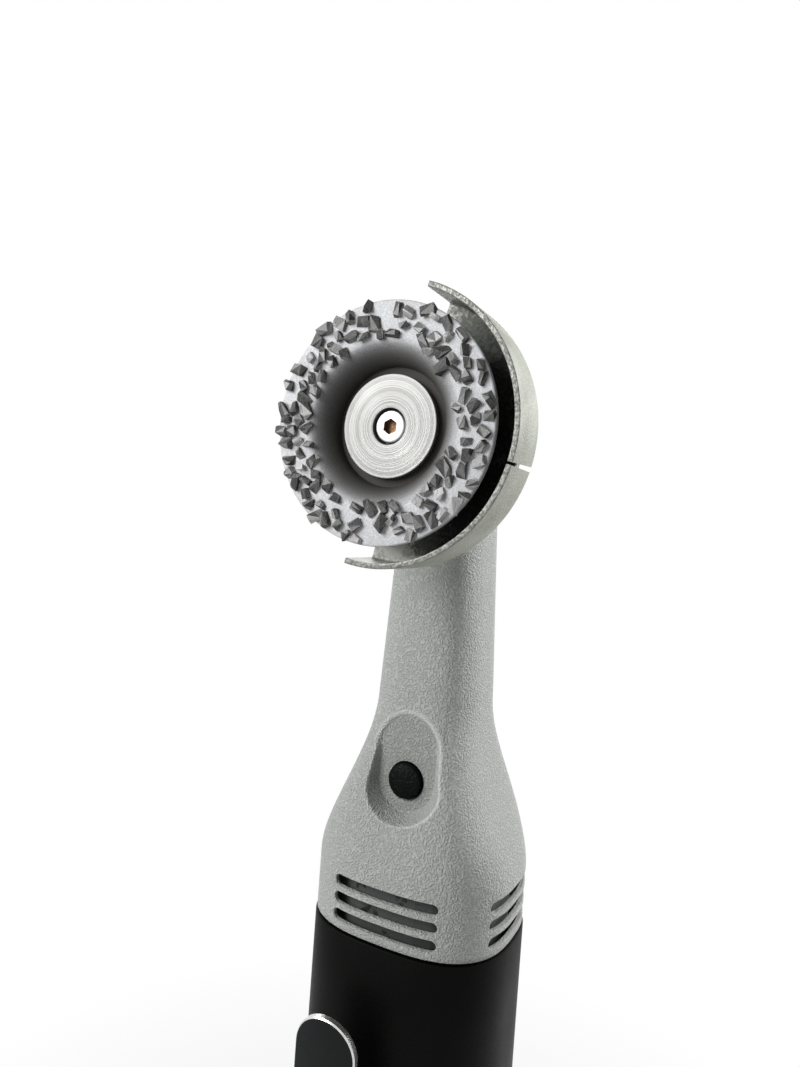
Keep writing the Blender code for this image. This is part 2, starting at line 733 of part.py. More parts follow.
def gear_plate():
    bore = FRONT_BEARING_RADIUS + RUN
    lip_back = BOSS_FRONT - BOSS_LIP
    lip_bore = SPINDLE_RADIUS + 3 * GAP
    body = turned([(BOSS_RADIUS, BOSS_FRONT), (BOSS_RADIUS, PLATE_FRONT), (HEAD_RADIUS, PLATE_FRONT),
                   (HEAD_RADIUS, PLATE_BACK), (bore, PLATE_BACK), (bore, lip_back),
                   (lip_bore, lip_back), (lip_bore, BOSS_FRONT)], ROUND_LARGE)
    seat = PLATE_FRONT - PLATE_SCREW_HEAD_HEIGHT - 2 * GAP
    for spot in plate_screw_spots():
        body = cut(body, rod(PLATE_SCREW_RADIUS + GAP, 0, BOSS_FRONT, ROUND_SMALL, spot))
        body = cut(body, rod(PLATE_SCREW_HEAD + GAP, seat, PLATE_FRONT + GAP, ROUND_SMALL, spot))
    return body


def socket_screw(radius, head_radius, head_height, length, across, sides=ROUND_SMALL):
    body = turned([(0, head_height), (head_radius, head_height), (head_radius, 0),
                   (radius, 0), (radius, -length), (0, -length)], sides)
    return cut(body, prism(hexagon(across), head_height * 0.45, head_height + GAP))


def plate_screw(spot):
    seat = PLATE_FRONT - PLATE_SCREW_HEAD_HEIGHT - GAP
    length = seat - (HEAD_FRONT - PLATE_SCREW_REACH) - GAP
    body = socket_screw(PLATE_SCREW_RADIUS, PLATE_SCREW_HEAD, PLATE_SCREW_HEAD_HEIGHT, length,
                        PLATE_SCREW_RADIUS)
    return turn(body, Matrix.Translation((*spot, seat)))


def bearing(outer, bore, back, front, sides=ROUND_MEDIUM):
    low = bore + BEARING_RACE
    high = outer - BEARING_RACE
    return turned([(outer, front), (outer, back), (bore, back), (bore, front), (low, front),
                   (low, front - BEARING_GROOVE), (high, front - BEARING_GROOVE), (high, front)], sides)


# Spindle and bevel gears

def spindle():
    seat_back = PINION_PITCH * 0.75
    tail_back = -GEAR_ROOM_BACK - REAR_BEARING_WIDTH - GAP
    shoulder = FRONT_BEARING_BACK - GAP
    body = turned([(0, SPINDLE_FRONT), (SPINDLE_RADIUS, SPINDLE_FRONT), (SPINDLE_RADIUS, shoulder),
                   (SPINDLE_SHOULDER, shoulder), (SPINDLE_SHOULDER, SHOULDER_BACK),
                   (SPINDLE_SEAT, SHOULDER_BACK), (SPINDLE_SEAT, seat_back), (SPINDLE_TAIL, seat_back),
                   (SPINDLE_TAIL, tail_back), (0, tail_back)])
    bore_end = SCREW_HEAD_BACK - CLAMP_SCREW_LENGTH - GAP
    return cut(body, rod(CLAMP_SCREW_RADIUS + GAP, bore_end, SPINDLE_FRONT + GAP))


def tooth_outline(teeth, pitch, facing_pitch, phase):
    cone = atan2(pitch, facing_pitch)
    back_radius = pitch / cos(cone)
    base = back_radius * cos(PRESSURE_ANGLE)
    addendum = 0.80 * TOOTH_MODULE
    dedendum = 1.05 * TOOTH_MODULE
    half_pitch_angle = pi * TOOTH_MODULE / 4 * (1 - TOOTH_SLACK) / back_radius
    involute = tan(PRESSURE_ANGLE) - PRESSURE_ANGLE
    flank = []
    for radius in (back_radius - dedendum, back_radius, back_radius + addendum):
        slope = acos(min(1, base / radius))
        half_angle = half_pitch_angle + involute - (tan(slope) - slope)
        tilt = cone + (radius - back_radius) / CONE_LENGTH
        flank.append((radius * half_angle / (CONE_LENGTH * sin(tilt)), tilt))
    outline = []
    for n in range(teeth):
        middle = phase + 2 * pi * n / teeth
        outline += [(middle - half, tilt) for half, tilt in flank]
        outline += [(middle + half, tilt) for half, tilt in reversed(flank)]
    return outline


def bevel_wheel(outline, hub, hub_end, bore, small_end):
    def cone_ring(length):
        return [(length * sin(t) * cos(a), length * sin(t) * sin(a), length * cos(t)) for a, t in outline]

    def flat_ring(radius, height):
        return [(radius * cos(a), radius * sin(a), height) for a, t in outline]

    return wheel([cone_ring(CONE_LENGTH - TOOTH_FACE), cone_ring(CONE_LENGTH), flat_ring(hub, hub_end),
                  flat_ring(bore, hub_end), flat_ring(bore, small_end)])


def bevel_gear():
    outline = tooth_outline(GEAR_TEETH, GEAR_PITCH, PINION_PITCH, -pi / 2 + pi / GEAR_TEETH)
    small_end = (CONE_LENGTH - TOOTH_FACE) * cos(min(t for a, t in outline))
    return bevel_wheel(outline, GEAR_HUB, SHOULDER_BACK - GAP, SPINDLE_SEAT + RUN, small_end)


def bevel_pinion():
    outline = tooth_outline(PINION_TEETH, PINION_PITCH, GEAR_PITCH, pi / 2)
    small_end = (CONE_LENGTH - TOOTH_FACE) * cos(min(t for a, t in outline))
    body = bevel_wheel(outline, PINION_HUB, PINION_BEARING_DROP - GAP, DRIVE_TIP_RADIUS + RUN, small_end)
    return turn(body, Matrix.Translation((0, 0, SPINDLE_Z)) @ Matrix.Rotation(pi, 4, "X"))


# Disc, flanges and clamp screw, all turned about the spindle

def inner_flange():
    recess = SPINDLE_FRONT
    bore = SPINDLE_RADIUS + RUN
    return turned([(INNER_FLANGE_RADIUS, INNER_FLANGE_FRONT), (INNER_FLANGE_RADIUS, INNER_FLANGE_BACK),
                   (bore, INNER_FLANGE_BACK), (bore, recess), (CLAMP_HUB + GAP, recess),
                   (CLAMP_HUB + GAP, INNER_FLANGE_FRONT)])


def dish_curve(sink):
    curve = []
    for i in range(DISH_STEPS + 1):
        t = i / DISH_STEPS
        share = t * t * (3 - 2 * t)
        curve.append((blend(DISH_FLOOR, DISH_MOUTH, t), blend(DISH_FRONT, RIM_FRONT, share) - sink))
    return curve


def chip_spots():
    spots = []
    inside = DISH_MOUTH + 0.9 * CHIP_SIZE
    outside = DISC_RADIUS - 0.6 * CHIP_SIZE
    for ring in range(CHIP_RINGS):
        radius = blend(inside, outside, ring / (CHIP_RINGS - 1))
        count = int(2 * pi * radius / CHIP_SPACING)
        for n in range(count):
            spots.append((radius, 2 * pi * (n + 0.5 * (ring % 2)) / count))
    return spots


def chip(rng, radius, angle):
    work = bmesh.new()
    bmesh.ops.create_icosphere(work, subdivisions=1, radius=1)
    spin = Matrix.Rotation(rng.uniform(0, 2 * pi), 3, "Z") @ Matrix.Rotation(rng.uniform(0, pi), 3, "X")
    size = CHIP_SIZE * rng.uniform(0.75, 1.15)
    stretch = rng.uniform(0.65, 1.0)
    height = CHIP_HEIGHT * rng.uniform(0.7, 1.0)
    for vert in work.verts:
        place_in = spin @ vert.co
        vert.co = (place_in.x * size, place_in.y * size * stretch, place_in.z * height)
    bmesh.ops.rotate(work, matrix=Matrix.Rotation(rng.uniform(0, pi), 3, "Z"), verts=work.verts)
    bmesh.ops.translate(work, vec=(radius * cos(angle), radius * sin(angle), RIM_FRONT), verts=work.verts)
    mesh = bpy.data.meshes.new("chip")
    work.to_mesh(mesh)
    work.free()
    return hold("chip", mesh)


def grinding_disc():
    bore = CLAMP_HUB + GAP
    front = [(bore, DISH_FRONT)] + dish_curve(0) + [(DISC_RADIUS, RIM_FRONT)]
    back = [(DISC_RADIUS, RIM_FRONT - DISC_SHEET)] + dish_curve(DISC_SHEET)[::-1] + [(bore, DISH_BACK)]
    body = turned(front + back, ROUND_LARGE)
    rng = random.Random(CHIP_SEED)
    for radius, angle in chip_spots():
        body = join(body, chip(rng, radius, angle))
    return body


def clamp_flange():
    hole = CLAMP_SCREW_RADIUS + GAP
    return turned([(CLAMP_RADIUS, CLAMP_FRONT), (CLAMP_RADIUS, CLAMP_BACK), (CLAMP_HUB, CLAMP_BACK),
                   (CLAMP_HUB, CLAMP_HUB_BACK), (hole, CLAMP_HUB_BACK), (hole, CLAMP_SEAT),
                   (CLAMP_HOLE, CLAMP_SEAT), (CLAMP_HOLE, CLAMP_FRONT)], ROUND_LARGE)


def clamp_screw():
    body = turned([(0, CLAMP_HEAD_HEIGHT), (CLAMP_HEAD_RADIUS, CLAMP_HEAD_HEIGHT), (CLAMP_HEAD_RADIUS, 0),
                   (CLAMP_SCREW_RADIUS, 0), (CLAMP_SCREW_RADIUS, -CLAMP_SCREW_LENGTH),
                   (0, -CLAMP_SCREW_LENGTH)])
    socket = prism(hexagon(SOCKET_ACROSS), CLAMP_HEAD_HEIGHT - SOCKET_DEPTH, CLAMP_HEAD_HEIGHT + GAP)
    return turn(cut(body, socket), Matrix.Translation((0, 0, SCREW_HEAD_BACK)))


# Guard: a rim and a back plate pressed from one sheet, about the spindle and middle along +X

def guard():
    inner = GUARD_RADIUS - GUARD_SHEET
    plate_front = GUARD_BACK + GUARD_SHEET
    work = bmesh.new()
    profile = [(COLLAR_BORE, GUARD_BACK), (GUARD_RADIUS, GUARD_BACK), (GUARD_RADIUS, GUARD_FRONT),
               (inner, GUARD_FRONT), (inner, plate_front), (COLLAR_BORE, plate_front)]
    verts = [work.verts.new((r, 0, h)) for r, h in profile]
    face = work.faces.new(verts)
    bmesh.ops.rotate(work, matrix=Matrix.Rotation(-GUARD_HALF_SPAN, 3, "Z"), verts=verts)
    bmesh.ops.spin(work, geom=[face, *face.edges, *face.verts], axis=(0, 0, 1), cent=(0, 0, 0),
                   angle=2 * GUARD_HALF_SPAN, steps=ROUND_LARGE // 2)
    mesh = bpy.data.meshes.new("guard")
    work.to_mesh(mesh)
    work.free()
    close_up(mesh)
    body = hold("guard", mesh)
    slit = block((GUARD_SLIT_END, -GUARD_SLIT / 2, GUARD_BACK - GUARD_SHEET),
                 (GUARD_RADIUS + GUARD_SHEET, GUARD_SLIT / 2, GUARD_FRONT + GUARD_SHEET))
    return cut(body, slit)


def guard_collar():
    body = tube(COLLAR_RADIUS, COLLAR_BORE, COLLAR_BACK, COLLAR_FRONT, ROUND_LARGE)
    half = COLLAR_SPLIT / 2 + COLLAR_EAR
    root = -(COLLAR_BORE + COLLAR_RADIUS) / 2
    ears = block((-COLLAR_RADIUS - COLLAR_EAR_REACH, -half, COLLAR_BACK + GAP),
                 (root, half, COLLAR_FRONT - GAP))
    split = block((-COLLAR_RADIUS - 2 * COLLAR_EAR_REACH, -COLLAR_SPLIT / 2, COLLAR_BACK - GAP),
                  (0, COLLAR_SPLIT / 2, COLLAR_FRONT + GAP))
    body = cut(join(body, ears), split)
    hole = rod(COLLAR_SCREW_RADIUS + GAP, -2 * half, 2 * half)
    return cut(body, turn(hole, collar_screw_frame()))


def collar_screw_frame():
    middle = (COLLAR_BACK + COLLAR_FRONT) / 2
    spot = (-COLLAR_RADIUS - COLLAR_EAR_REACH / 2, 0, middle)
    return Matrix.Translation(spot) @ Matrix.Rotation(-pi / 2, 4, "X")


def collar_screw():
    half = COLLAR_SPLIT / 2 + COLLAR_EAR
    body = socket_screw(COLLAR_SCREW_RADIUS, COLLAR_SCREW_HEAD, COLLAR_SCREW_HEAD_HEIGHT,
                        2 * half + 2 * GAP, COLLAR_SCREW_RADIUS * 1.6)
    return turn(turn(body, Matrix.Translation((0, 0, half + GAP))), collar_screw_frame())


# Spindle lock

def lock_button():
    rim = POCKET_FLOOR + BUTTON_PROUD - BUTTON_DOME
    lip = BUTTON_RADIUS + BUTTON_LIP
    hole = LOCK_PIN_RADIUS + RUN
    floor = BUTTON_LIP_FRONT + 2 * GAP
    steps = 4
    dome = [(BUTTON_RADIUS * sin(pi / 2 * i / steps), rim + BUTTON_DOME * cos(pi / 2 * i / steps))
            for i in range(steps + 1)]
    body = turned(dome + [(BUTTON_RADIUS, BUTTON_LIP_FRONT), (lip, BUTTON_LIP_FRONT), (lip, BUTTON_LIP_BACK),
                          (hole, BUTTON_LIP_BACK), (hole, floor), (0, floor)])
    return body


def lock_pin():
    return rod(LOCK_PIN_RADIUS, LOCK_COLLAR_RADIUS + LOCK_PIN_SHORT, BUTTON_LIP_FRONT + GAP)


def lock_spring():
    bottom = BRIDGE_FRONT + GAP + LOCK_SPRING_WIRE
    top = BUTTON_LIP_BACK - GAP - LOCK_SPRING_WIRE
    return wire(coil(LOCK_SPRING_RADIUS, bottom, top, LOCK_SPRING_TURNS), LOCK_SPRING_WIRE)


def lock_bridge():
    half_x, half_y, power, back = neck_section(LOCK_Z + BRIDGE_HALF_HEIGHT, NECK_WALL)
    end = crown(half_x, half_y, BRIDGE_FRONT + back, power) - 2 * GAP
    body = block((-end, -BRIDGE_HALF_HEIGHT, BRIDGE_BACK), (end, BRIDGE_HALF_HEIGHT, BRIDGE_FRONT))
    return cut(body, rod(LOCK_PIN_RADIUS + GAP, 0, POCKET_FLOOR))


def lock_collar():
    half = LOCK_COLLAR_HEIGHT / 2
    body = tube(LOCK_COLLAR_RADIUS, DRIVE_RADIUS + RUN, LOCK_Z - half, LOCK_Z + half)
    for n in range(LOCK_HOLES):
        hole = rod(LOCK_PIN_RADIUS + GAP, DRIVE_RADIUS - GAP, LOCK_COLLAR_RADIUS + GAP)
        body = cut(body, turn(hole, Matrix.Rotation(2 * pi * n / LOCK_HOLES, 4, "Z") @ LOCK))
    return body


# Drive line

def drive_shaft():
    top = SPINDLE_Z - (CONE_LENGTH - TOOTH_FACE)
    step = PINION_BEARING_TOP + GAP
    bottom = COUPLING_MIDDLE + GAP
    return turned([(0, top), (DRIVE_TIP_RADIUS, top), (DRIVE_TIP_RADIUS, step), (DRIVE_RADIUS, step),
                   (DRIVE_RADIUS, bottom), (0, bottom)], ROUND_SMALL)


def shaft_coupling():
    bottom = COUPLING_MIDDLE - COUPLING_LENGTH / 2
    top = COUPLING_MIDDLE + COUPLING_LENGTH / 2
    low = MOTOR_SHAFT_RADIUS + RUN
    high = DRIVE_RADIUS + RUN
    return turned([(COUPLING_RADIUS, top), (COUPLING_RADIUS, bottom), (low, bottom), (low, COUPLING_MIDDLE),
                   (high, COUPLING_MIDDLE), (high, top)], ROUND_SMALL)


def motor_shaft():
    bottom = REAR_MOTOR_BEARING_TOP - MOTOR_BEARING_WIDTH
    return rod(MOTOR_SHAFT_RADIUS, bottom, COUPLING_MIDDLE - GAP)


def cooling_fan():
    top = FAN_BOTTOM + FAN_HEIGHT
    plate = FAN_BOTTOM + FAN_PLATE
    bore = MOTOR_SHAFT_RADIUS + RUN
    body = turned([(FAN_HUB, top), (FAN_HUB, plate), (FAN_RADIUS, plate), (FAN_RADIUS, FAN_BOTTOM),
                   (bore, FAN_BOTTOM), (bore, top)])
    root = (FAN_HUB + bore) / 2
    for n in range(FAN_BLADES):
        blade = block((root, -FAN_BLADE / 2, FAN_BOTTOM + FAN_PLATE / 2),
                      (FAN_RADIUS - GAP, FAN_BLADE / 2, top - GAP))
        body = join(body, turn(blade, Matrix.Rotation(2 * pi * n / FAN_BLADES, 4, "Z")))
    return body


def air_baffle():
    inset = NECK_WALL + BAFFLE_ROOM
    heights = [BAFFLE_BOTTOM + BAFFLE_HEIGHT * i / BAFFLE_RINGS for i in range(BAFFLE_RINGS + 1)]
    outer = [crowned_box(*neck_section(z, inset), z) for z in heights]
    inset += BAFFLE_WALL
    heights[0] -= GAP
    heights[-1] += GAP
    inner = [crowned_box(*neck_section(z, inset), z) for z in heights]
    body = cut(loft(outer), loft(inner))
    for spot in TIE_SPOTS:
        room = TIE_BOSS_RADIUS + GAP
        body = cut(body, rod(room, 0, TIE_TOP + 4 * GAP + TIE_RADIUS, ROUND_SMALL, spot))
    return body


# Motor

def motor_front_plate():
    size = (GRIP_INNER_X - GAP, GRIP_INNER_Y - GAP, BODY_POWER, 0)
    body = loft([crowned_box(*size, z) for z in (FRONT_PLATE_BOTTOM, FRONT_PLATE_TOP)])
    seat = MOTOR_BEARING_TOP - MOTOR_BEARING_WIDTH - GAP
    body = cut(body, rod(MOTOR_BEARING_RADIUS + RUN, seat, FRONT_PLATE_TOP + GAP, ROUND_MEDIUM))
    body = cut(body, rod(MOTOR_SHAFT_RADIUS + 3 * GAP, 0, FRONT_PLATE_TOP, ROUND_MEDIUM))
    for n in range(AIR_HOLES):
        a = 2 * pi * (n + 0.5) / AIR_HOLES
        spot = (AIR_HOLE_CIRCLE * cos(a), AIR_HOLE_CIRCLE * sin(a))
        body = cut(body, rod(AIR_HOLE_RADIUS, 0, GRIP_LENGTH, ROUND_SMALL, spot))
    for spot in TIE_SPOTS:
        body = cut(body, rod(TIE_RADIUS + 4 * GAP, 0, GRIP_LENGTH, ROUND_SMALL, spot))
    return body


def magnet(side):
    inner = arc((0, 0), MAGNET_BORE, -MAGNET_HALF_SPAN, MAGNET_HALF_SPAN, ROUND_SMALL // 2)
    outer = arc((0, 0), CAN_BORE - GAP, MAGNET_HALF_SPAN, -MAGNET_HALF_SPAN, ROUND_SMALL // 2)
    body = prism(inner + outer, MAGNET_BOTTOM, MAGNET_BOTTOM + MAGNET_LENGTH)
    return turn(body, Matrix.Rotation(0 if side > 0 else pi, 4, "Z"))


def armature_core():
    body = tube(CORE_RADIUS, MOTOR_SHAFT_RADIUS + RUN, CORE_BOTTOM, CORE_TOP)
    for n in range(CORE_SLOTS):
        slot = block((CORE_RADIUS - CORE_SLOT_DEPTH, -CORE_SLOT_WIDTH / 2, CORE_BOTTOM - GAP),
                     (CORE_RADIUS + GAP, CORE_SLOT_WIDTH / 2, CORE_TOP + GAP))
        body = cut(body, turn(slot, Matrix.Rotation(2 * pi * n / CORE_SLOTS, 4, "Z")))
    return body


def armature_winding():
    bore = MOTOR_SHAFT_RADIUS + 3 * GAP
    half = CORE_SLOT_WIDTH / 2 - GAP
    low_end = CORE_BOTTOM - GAP
    high_end = CORE_TOP + GAP
    body = tube(WINDING_RADIUS, bore, low_end - WINDING_HEIGHT, low_end)
    top = tube(WINDING_RADIUS, bore, high_end, high_end + WINDING_HEIGHT)
    bottom_of_slot = CORE_RADIUS - CORE_SLOT_DEPTH + GAP
    for n in range(CORE_SLOTS):
        bar = block((bottom_of_slot, -half, low_end - WINDING_HEIGHT / 2),
                    (WINDING_RADIUS - WINDING_HEIGHT / 8, half, high_end + WINDING_HEIGHT / 2))
        body = join(body, turn(bar, Matrix.Rotation(2 * pi * n / CORE_SLOTS, 4, "Z")))
    return join(body, top)


def motor_end_bell():
    body = rod(CAN_RADIUS, END_BELL_BOTTOM, END_BELL_TOP, ROUND_MEDIUM)
    seat = REAR_MOTOR_BEARING_TOP - MOTOR_BEARING_WIDTH - GAP
    return cut(body, rod(REAR_MOTOR_BEARING_RADIUS + RUN, seat, END_BELL_TOP + GAP, ROUND_MEDIUM))


def brush_side(shape, side):
    return turn(shape, Matrix.Rotation(0 if side > 0 else pi, 4, "Z"))


def carbon_brush(side):
    half_y = BRUSH_WIDTH / 2
    half_z = BRUSH_HEIGHT / 2
    low = (COMMUTATOR_RADIUS + GAP, -half_y, BRUSH_Z - half_z)
    high = (BRUSH_END - BRUSH_WALL - GAP, half_y, BRUSH_Z + half_z)
    return brush_side(block(low, high), side)


def brush_holder(side):
    half_y = BRUSH_WIDTH / 2 + GAP
    half_z = BRUSH_HEIGHT / 2 + GAP
    body = block((COMMUTATOR_RADIUS + 3 * GAP, -half_y - BRUSH_WALL, END_BELL_TOP + GAP),
                 (BRUSH_END, half_y + BRUSH_WALL, BRUSH_HOLDER_TOP))
    room = block((0, -half_y, BRUSH_Z - half_z), (BRUSH_END - BRUSH_WALL, half_y, BRUSH_Z + half_z))
    return brush_side(cut(body, room), side)


# Grip, tail cap, tie screws and inlet

def body_ring(z, inset):
    step = GRIP_STEP - inset
    return crowned_box(BODY_HALF_X + step, BODY_HALF_Y + step, BODY_POWER, 0, z)


def grip_body():
    bottom = TAIL_CAP_HEIGHT + GAP
    body = loft([body_ring(z, 0) for z in (bottom, GRIP_LENGTH)])
    body = cut(body, loft([body_ring(z, GRIP_WALL) for z in (bottom - GRIP_WALL, GRIP_LENGTH + GRIP_WALL)]))
    hole = rod(PLUNGER_RADIUS + GAP, SWITCH_FRONT, GRIP_FRONT + GRIP_WALL)
    return cut(body, turn(hole, SWITCH))


def tail_cap():
    outer = [body_ring(0, TAIL_EDGE), body_ring(TAIL_EDGE * 0.3, TAIL_EDGE * 0.3), body_ring(TAIL_EDGE, 0),
             body_ring(TAIL_CAP_HEIGHT, 0)]
    spigot_inset = GRIP_WALL + GAP
    spigot = [body_ring(z, spigot_inset) for z in (TAIL_FLOOR, TAIL_CAP_HEIGHT + TAIL_SPIGOT)]
    room = loft([body_ring(z, spigot_inset + TAIL_WALL) for z in (TAIL_FLOOR, 2 * TAIL_CAP_HEIGHT)])
    for spot in TIE_SPOTS:
        room = cut(room, rod(TIE_TAIL_BOSS, 0, 3 * TAIL_CAP_HEIGHT, ROUND_SMALL, spot))
    body = cut(join(loft(outer), loft(spigot)), room)
    hole = prism(stadium(INLET_HALF_LENGTH, INLET_RADIUS + INLET_WALL + GAP), -GAP, TAIL_CAP_HEIGHT)
    body = cut(body, turn(hole, Matrix.Translation((0, INLET_Y, 0))))
    seat = TIE_HEAD_SINK + TIE_HEAD_HEIGHT + GAP
    for spot in TIE_SPOTS:
        body = cut(body, rod(TIE_HEAD_RADIUS + GAP, -GAP, seat, ROUND_SMALL, spot))
        body = cut(body, rod(TIE_RADIUS + GAP, 0, 2 * TAIL_CAP_HEIGHT, ROUND_SMALL, spot))
    return body


def tie_screw(spot):
    seat = TIE_HEAD_SINK + TIE_HEAD_HEIGHT
    body = socket_screw(TIE_RADIUS, TIE_HEAD_RADIUS, TIE_HEAD_HEIGHT, TIE_TOP - seat, TIE_RADIUS * 1.7)
    return turn(body, Matrix.Translation((*spot, seat)) @ Matrix.Rotation(pi, 4, "X"))


def power_inlet():
    body = prism(stadium(INLET_HALF_LENGTH, INLET_RADIUS + INLET_WALL), INLET_SINK, INLET_TOP)
    socket = prism(stadium(INLET_HALF_LENGTH, INLET_RADIUS), 0, INLET_SINK + INLET_DEPTH)
    body = cut(body, socket)
    floor = INLET_SINK + INLET_DEPTH
    for side in (-1, 1):
        spot = (side * INLET_PIN_SPACING / 2, 0)
        pin = rod(INLET_PIN_RADIUS, floor - INLET_PIN_LENGTH, floor + INLET_BACK / 2, ROUND_SMALL, spot)
        body = join(body, pin)
        tab = block((spot[0] - TERMINAL_HALF, -TERMINAL_HALF / 2, INLET_TOP - INLET_BACK / 2),
                    (spot[0] + TERMINAL_HALF, TERMINAL_HALF / 2, INLET_TOP + TERMINAL_HEIGHT))
        body = join(body, tab)
    return turn(body, Matrix.Translation((0, INLET_Y, 0)))


# Lever, its bracket and pin, spring and switch, in frames that face forward

def lever():
    tip = LEVER_REACH - LEVER_HALF_WIDTH
    outline = arc((0, tip), LEVER_HALF_WIDTH, 0, pi, ROUND_MEDIUM // 2)
    outline += [(-LEVER_HALF_WIDTH, -LEVER_TAIL), (LEVER_HALF_WIDTH, -LEVER_TAIL)]
    body = prism(outline, LEVER_UNDER, LEVER_UNDER + LEVER_SHEET)
    lug_outline = arc((0, 0), LUG_RADIUS, pi, 2 * pi, ROUND_SMALL // 2)
    lug_outline += [(LUG_RADIUS, LEVER_UNDER + LEVER_SHEET / 2), (-LUG_RADIUS, LEVER_UNDER + LEVER_SHEET / 2)]
    inner = EAR_HALF_SPAN + GAP
    across = Matrix.Rotation(pi / 2, 4, "Z") @ Matrix.Rotation(pi / 2, 4, "X")
    for low in (inner, -inner - LUG_SHEET):
        body = join(body, turn(prism(lug_outline, low, low + LUG_SHEET), across))
    stud = rod(SPRING_STUD_RADIUS, LEVER_UNDER - SPRING_STUD_HEIGHT, LEVER_UNDER + LEVER_SHEET / 2,
               ROUND_SMALL, (0, LEVER_SPRING_RISE))
    body = join(body, stud)
    hole = rod(LEVER_PIN_RADIUS + GAP, -2 * LEVER_HALF_WIDTH, 2 * LEVER_HALF_WIDTH)
    return cut(body, turn(hole, across))


def lever_bracket():
    base = -PIVOT_STAND + GAP
    half = EAR_HALF_SPAN - GAP
    high = BRACKET_HALF_HEIGHT
    body = block((-half, -high, base - GRIP_WALL), (half, high, base + EAR_SHEET))
    sleeve = loft([body_ring(z, -GAP) for z in (TAIL_CAP_HEIGHT, GRIP_LENGTH)])
    body = cut(body, turn(sleeve, PIVOT.inverted()))
    ear_outline = arc((0, 0), EAR_RADIUS, 0, pi, ROUND_SMALL // 2)
    ear_outline += [(-EAR_RADIUS * 1.5, base + EAR_SHEET / 2), (EAR_RADIUS * 1.5, base + EAR_SHEET / 2)]
    across = Matrix.Rotation(pi / 2, 4, "Z") @ Matrix.Rotation(pi / 2, 4, "X")
    for low in (EAR_HALF_SPAN - EAR_SHEET, -EAR_HALF_SPAN):
        body = join(body, turn(prism(ear_outline, low, low + EAR_SHEET), across))
    hole = rod(LEVER_PIN_RADIUS + GAP, -2 * EAR_HALF_SPAN, 2 * EAR_HALF_SPAN)
    return cut(body, turn(hole, across))


def lever_pin():
    half = EAR_HALF_SPAN + GAP + LUG_SHEET + GAP
    return turn(rod(LEVER_PIN_RADIUS, -half, half), Matrix.Rotation(pi / 2, 4, "Y"))


def lever_spring():
    seat = crown(GRIP_FRONT, BODY_HALF_X + GRIP_STEP, abs(LEVER_X) - LEVER_SPRING_RADIUS)
    bottom = seat + GAP + LEVER_SPRING_WIRE
    top = GRIP_FRONT + LEVER_STAND - GAP - LEVER_SPRING_WIRE
    return wire(coil(LEVER_SPRING_RADIUS, bottom, top, LEVER_SPRING_TURNS), LEVER_SPRING_WIRE)


def switch_body():
    body = block((-SWITCH_HALF_WIDTH, -SWITCH_HALF_HEIGHT, SWITCH_BACK),
                 (SWITCH_HALF_WIDTH, SWITCH_HALF_HEIGHT, SWITCH_FRONT))
    travel = PLUNGER_RISE * tan(LEVER_SWING)
    hole = rod(PLUNGER_RADIUS + GAP, PLUNGER_BACK - travel - 2 * GAP, SWITCH_FRONT + GAP)
    return cut(rounded(body, GAP * 2, 1), hole)


def switch_plunger():
    return rod(PLUNGER_RADIUS, PLUNGER_BACK, PLUNGER_FRONT)


def lead_wires():
    inlet_z = INLET_TOP + TERMINAL_HEIGHT + 2 * GAP
    pin_x = INLET_PIN_SPACING / 2
    switch_low = PLUNGER_Z - SWITCH_HALF_HEIGHT - 2 * GAP
    switch_high = PLUNGER_Z + SWITCH_HALF_HEIGHT
    switch_y = -(SWITCH_FRONT + SWITCH_BACK) / 2
    bell = END_BELL_BOTTOM - 2 * GAP
    brush_x = (REAR_MOTOR_BEARING_RADIUS + CAN_RADIUS) / 2
    low_mid = (inlet_z + switch_low) / 2
    high_mid = (inlet_z + bell) / 2
    supply = [(-pin_x, INLET_Y, inlet_z), (-pin_x, INLET_Y, blend(inlet_z, low_mid, 0.6)),
              (LEVER_X, (INLET_Y + switch_y) / 2, low_mid),
              (LEVER_X, switch_y, blend(low_mid, switch_low, 0.5)), (LEVER_X, switch_y, switch_low)]
    switched_y = -SWITCH_BACK + WIRE_RADIUS + 2 * GAP
    switched = [(LEVER_X, switched_y, switch_high - WIRE_RADIUS),
                (LEVER_X, switched_y + WIRE_RADIUS, bell - 6 * WIRE_RADIUS),
                (-brush_x, 0, bell - 3 * WIRE_RADIUS), (-brush_x, 0, bell)]
    back = [(pin_x, INLET_Y, inlet_z), (pin_x, INLET_Y, blend(inlet_z, high_mid, 0.6)),
            (brush_x, INLET_Y / 2, high_mid), (brush_x, 0, blend(high_mid, bell, 0.5)), (brush_x, 0, bell)]
    return {"supply_wire": supply, "switched_wire": switched, "return_wire": back}


# Assembly

head_frame = frame("head_frame", HEAD)
spindle_axis = frame("spindle_axis", HEAD)
guard_axis = frame("guard_axis", HEAD @ Matrix.Rotation(GUARD_TURN, 4, "Z"))
drive_axis = frame("drive_axis", Matrix.Identity(4))
lock_frame = frame("lock_frame", LOCK)
lock_axis = frame("lock_axis", LOCK)
lever_axis = frame("lever_axis", PIVOT)
bracket_frame = frame("bracket_frame", PIVOT)
plunger_axis = frame("plunger_axis", SWITCH)
switch_frame = frame("switch_frame", SWITCH)
spring_frame = frame("spring_frame", SPRING)

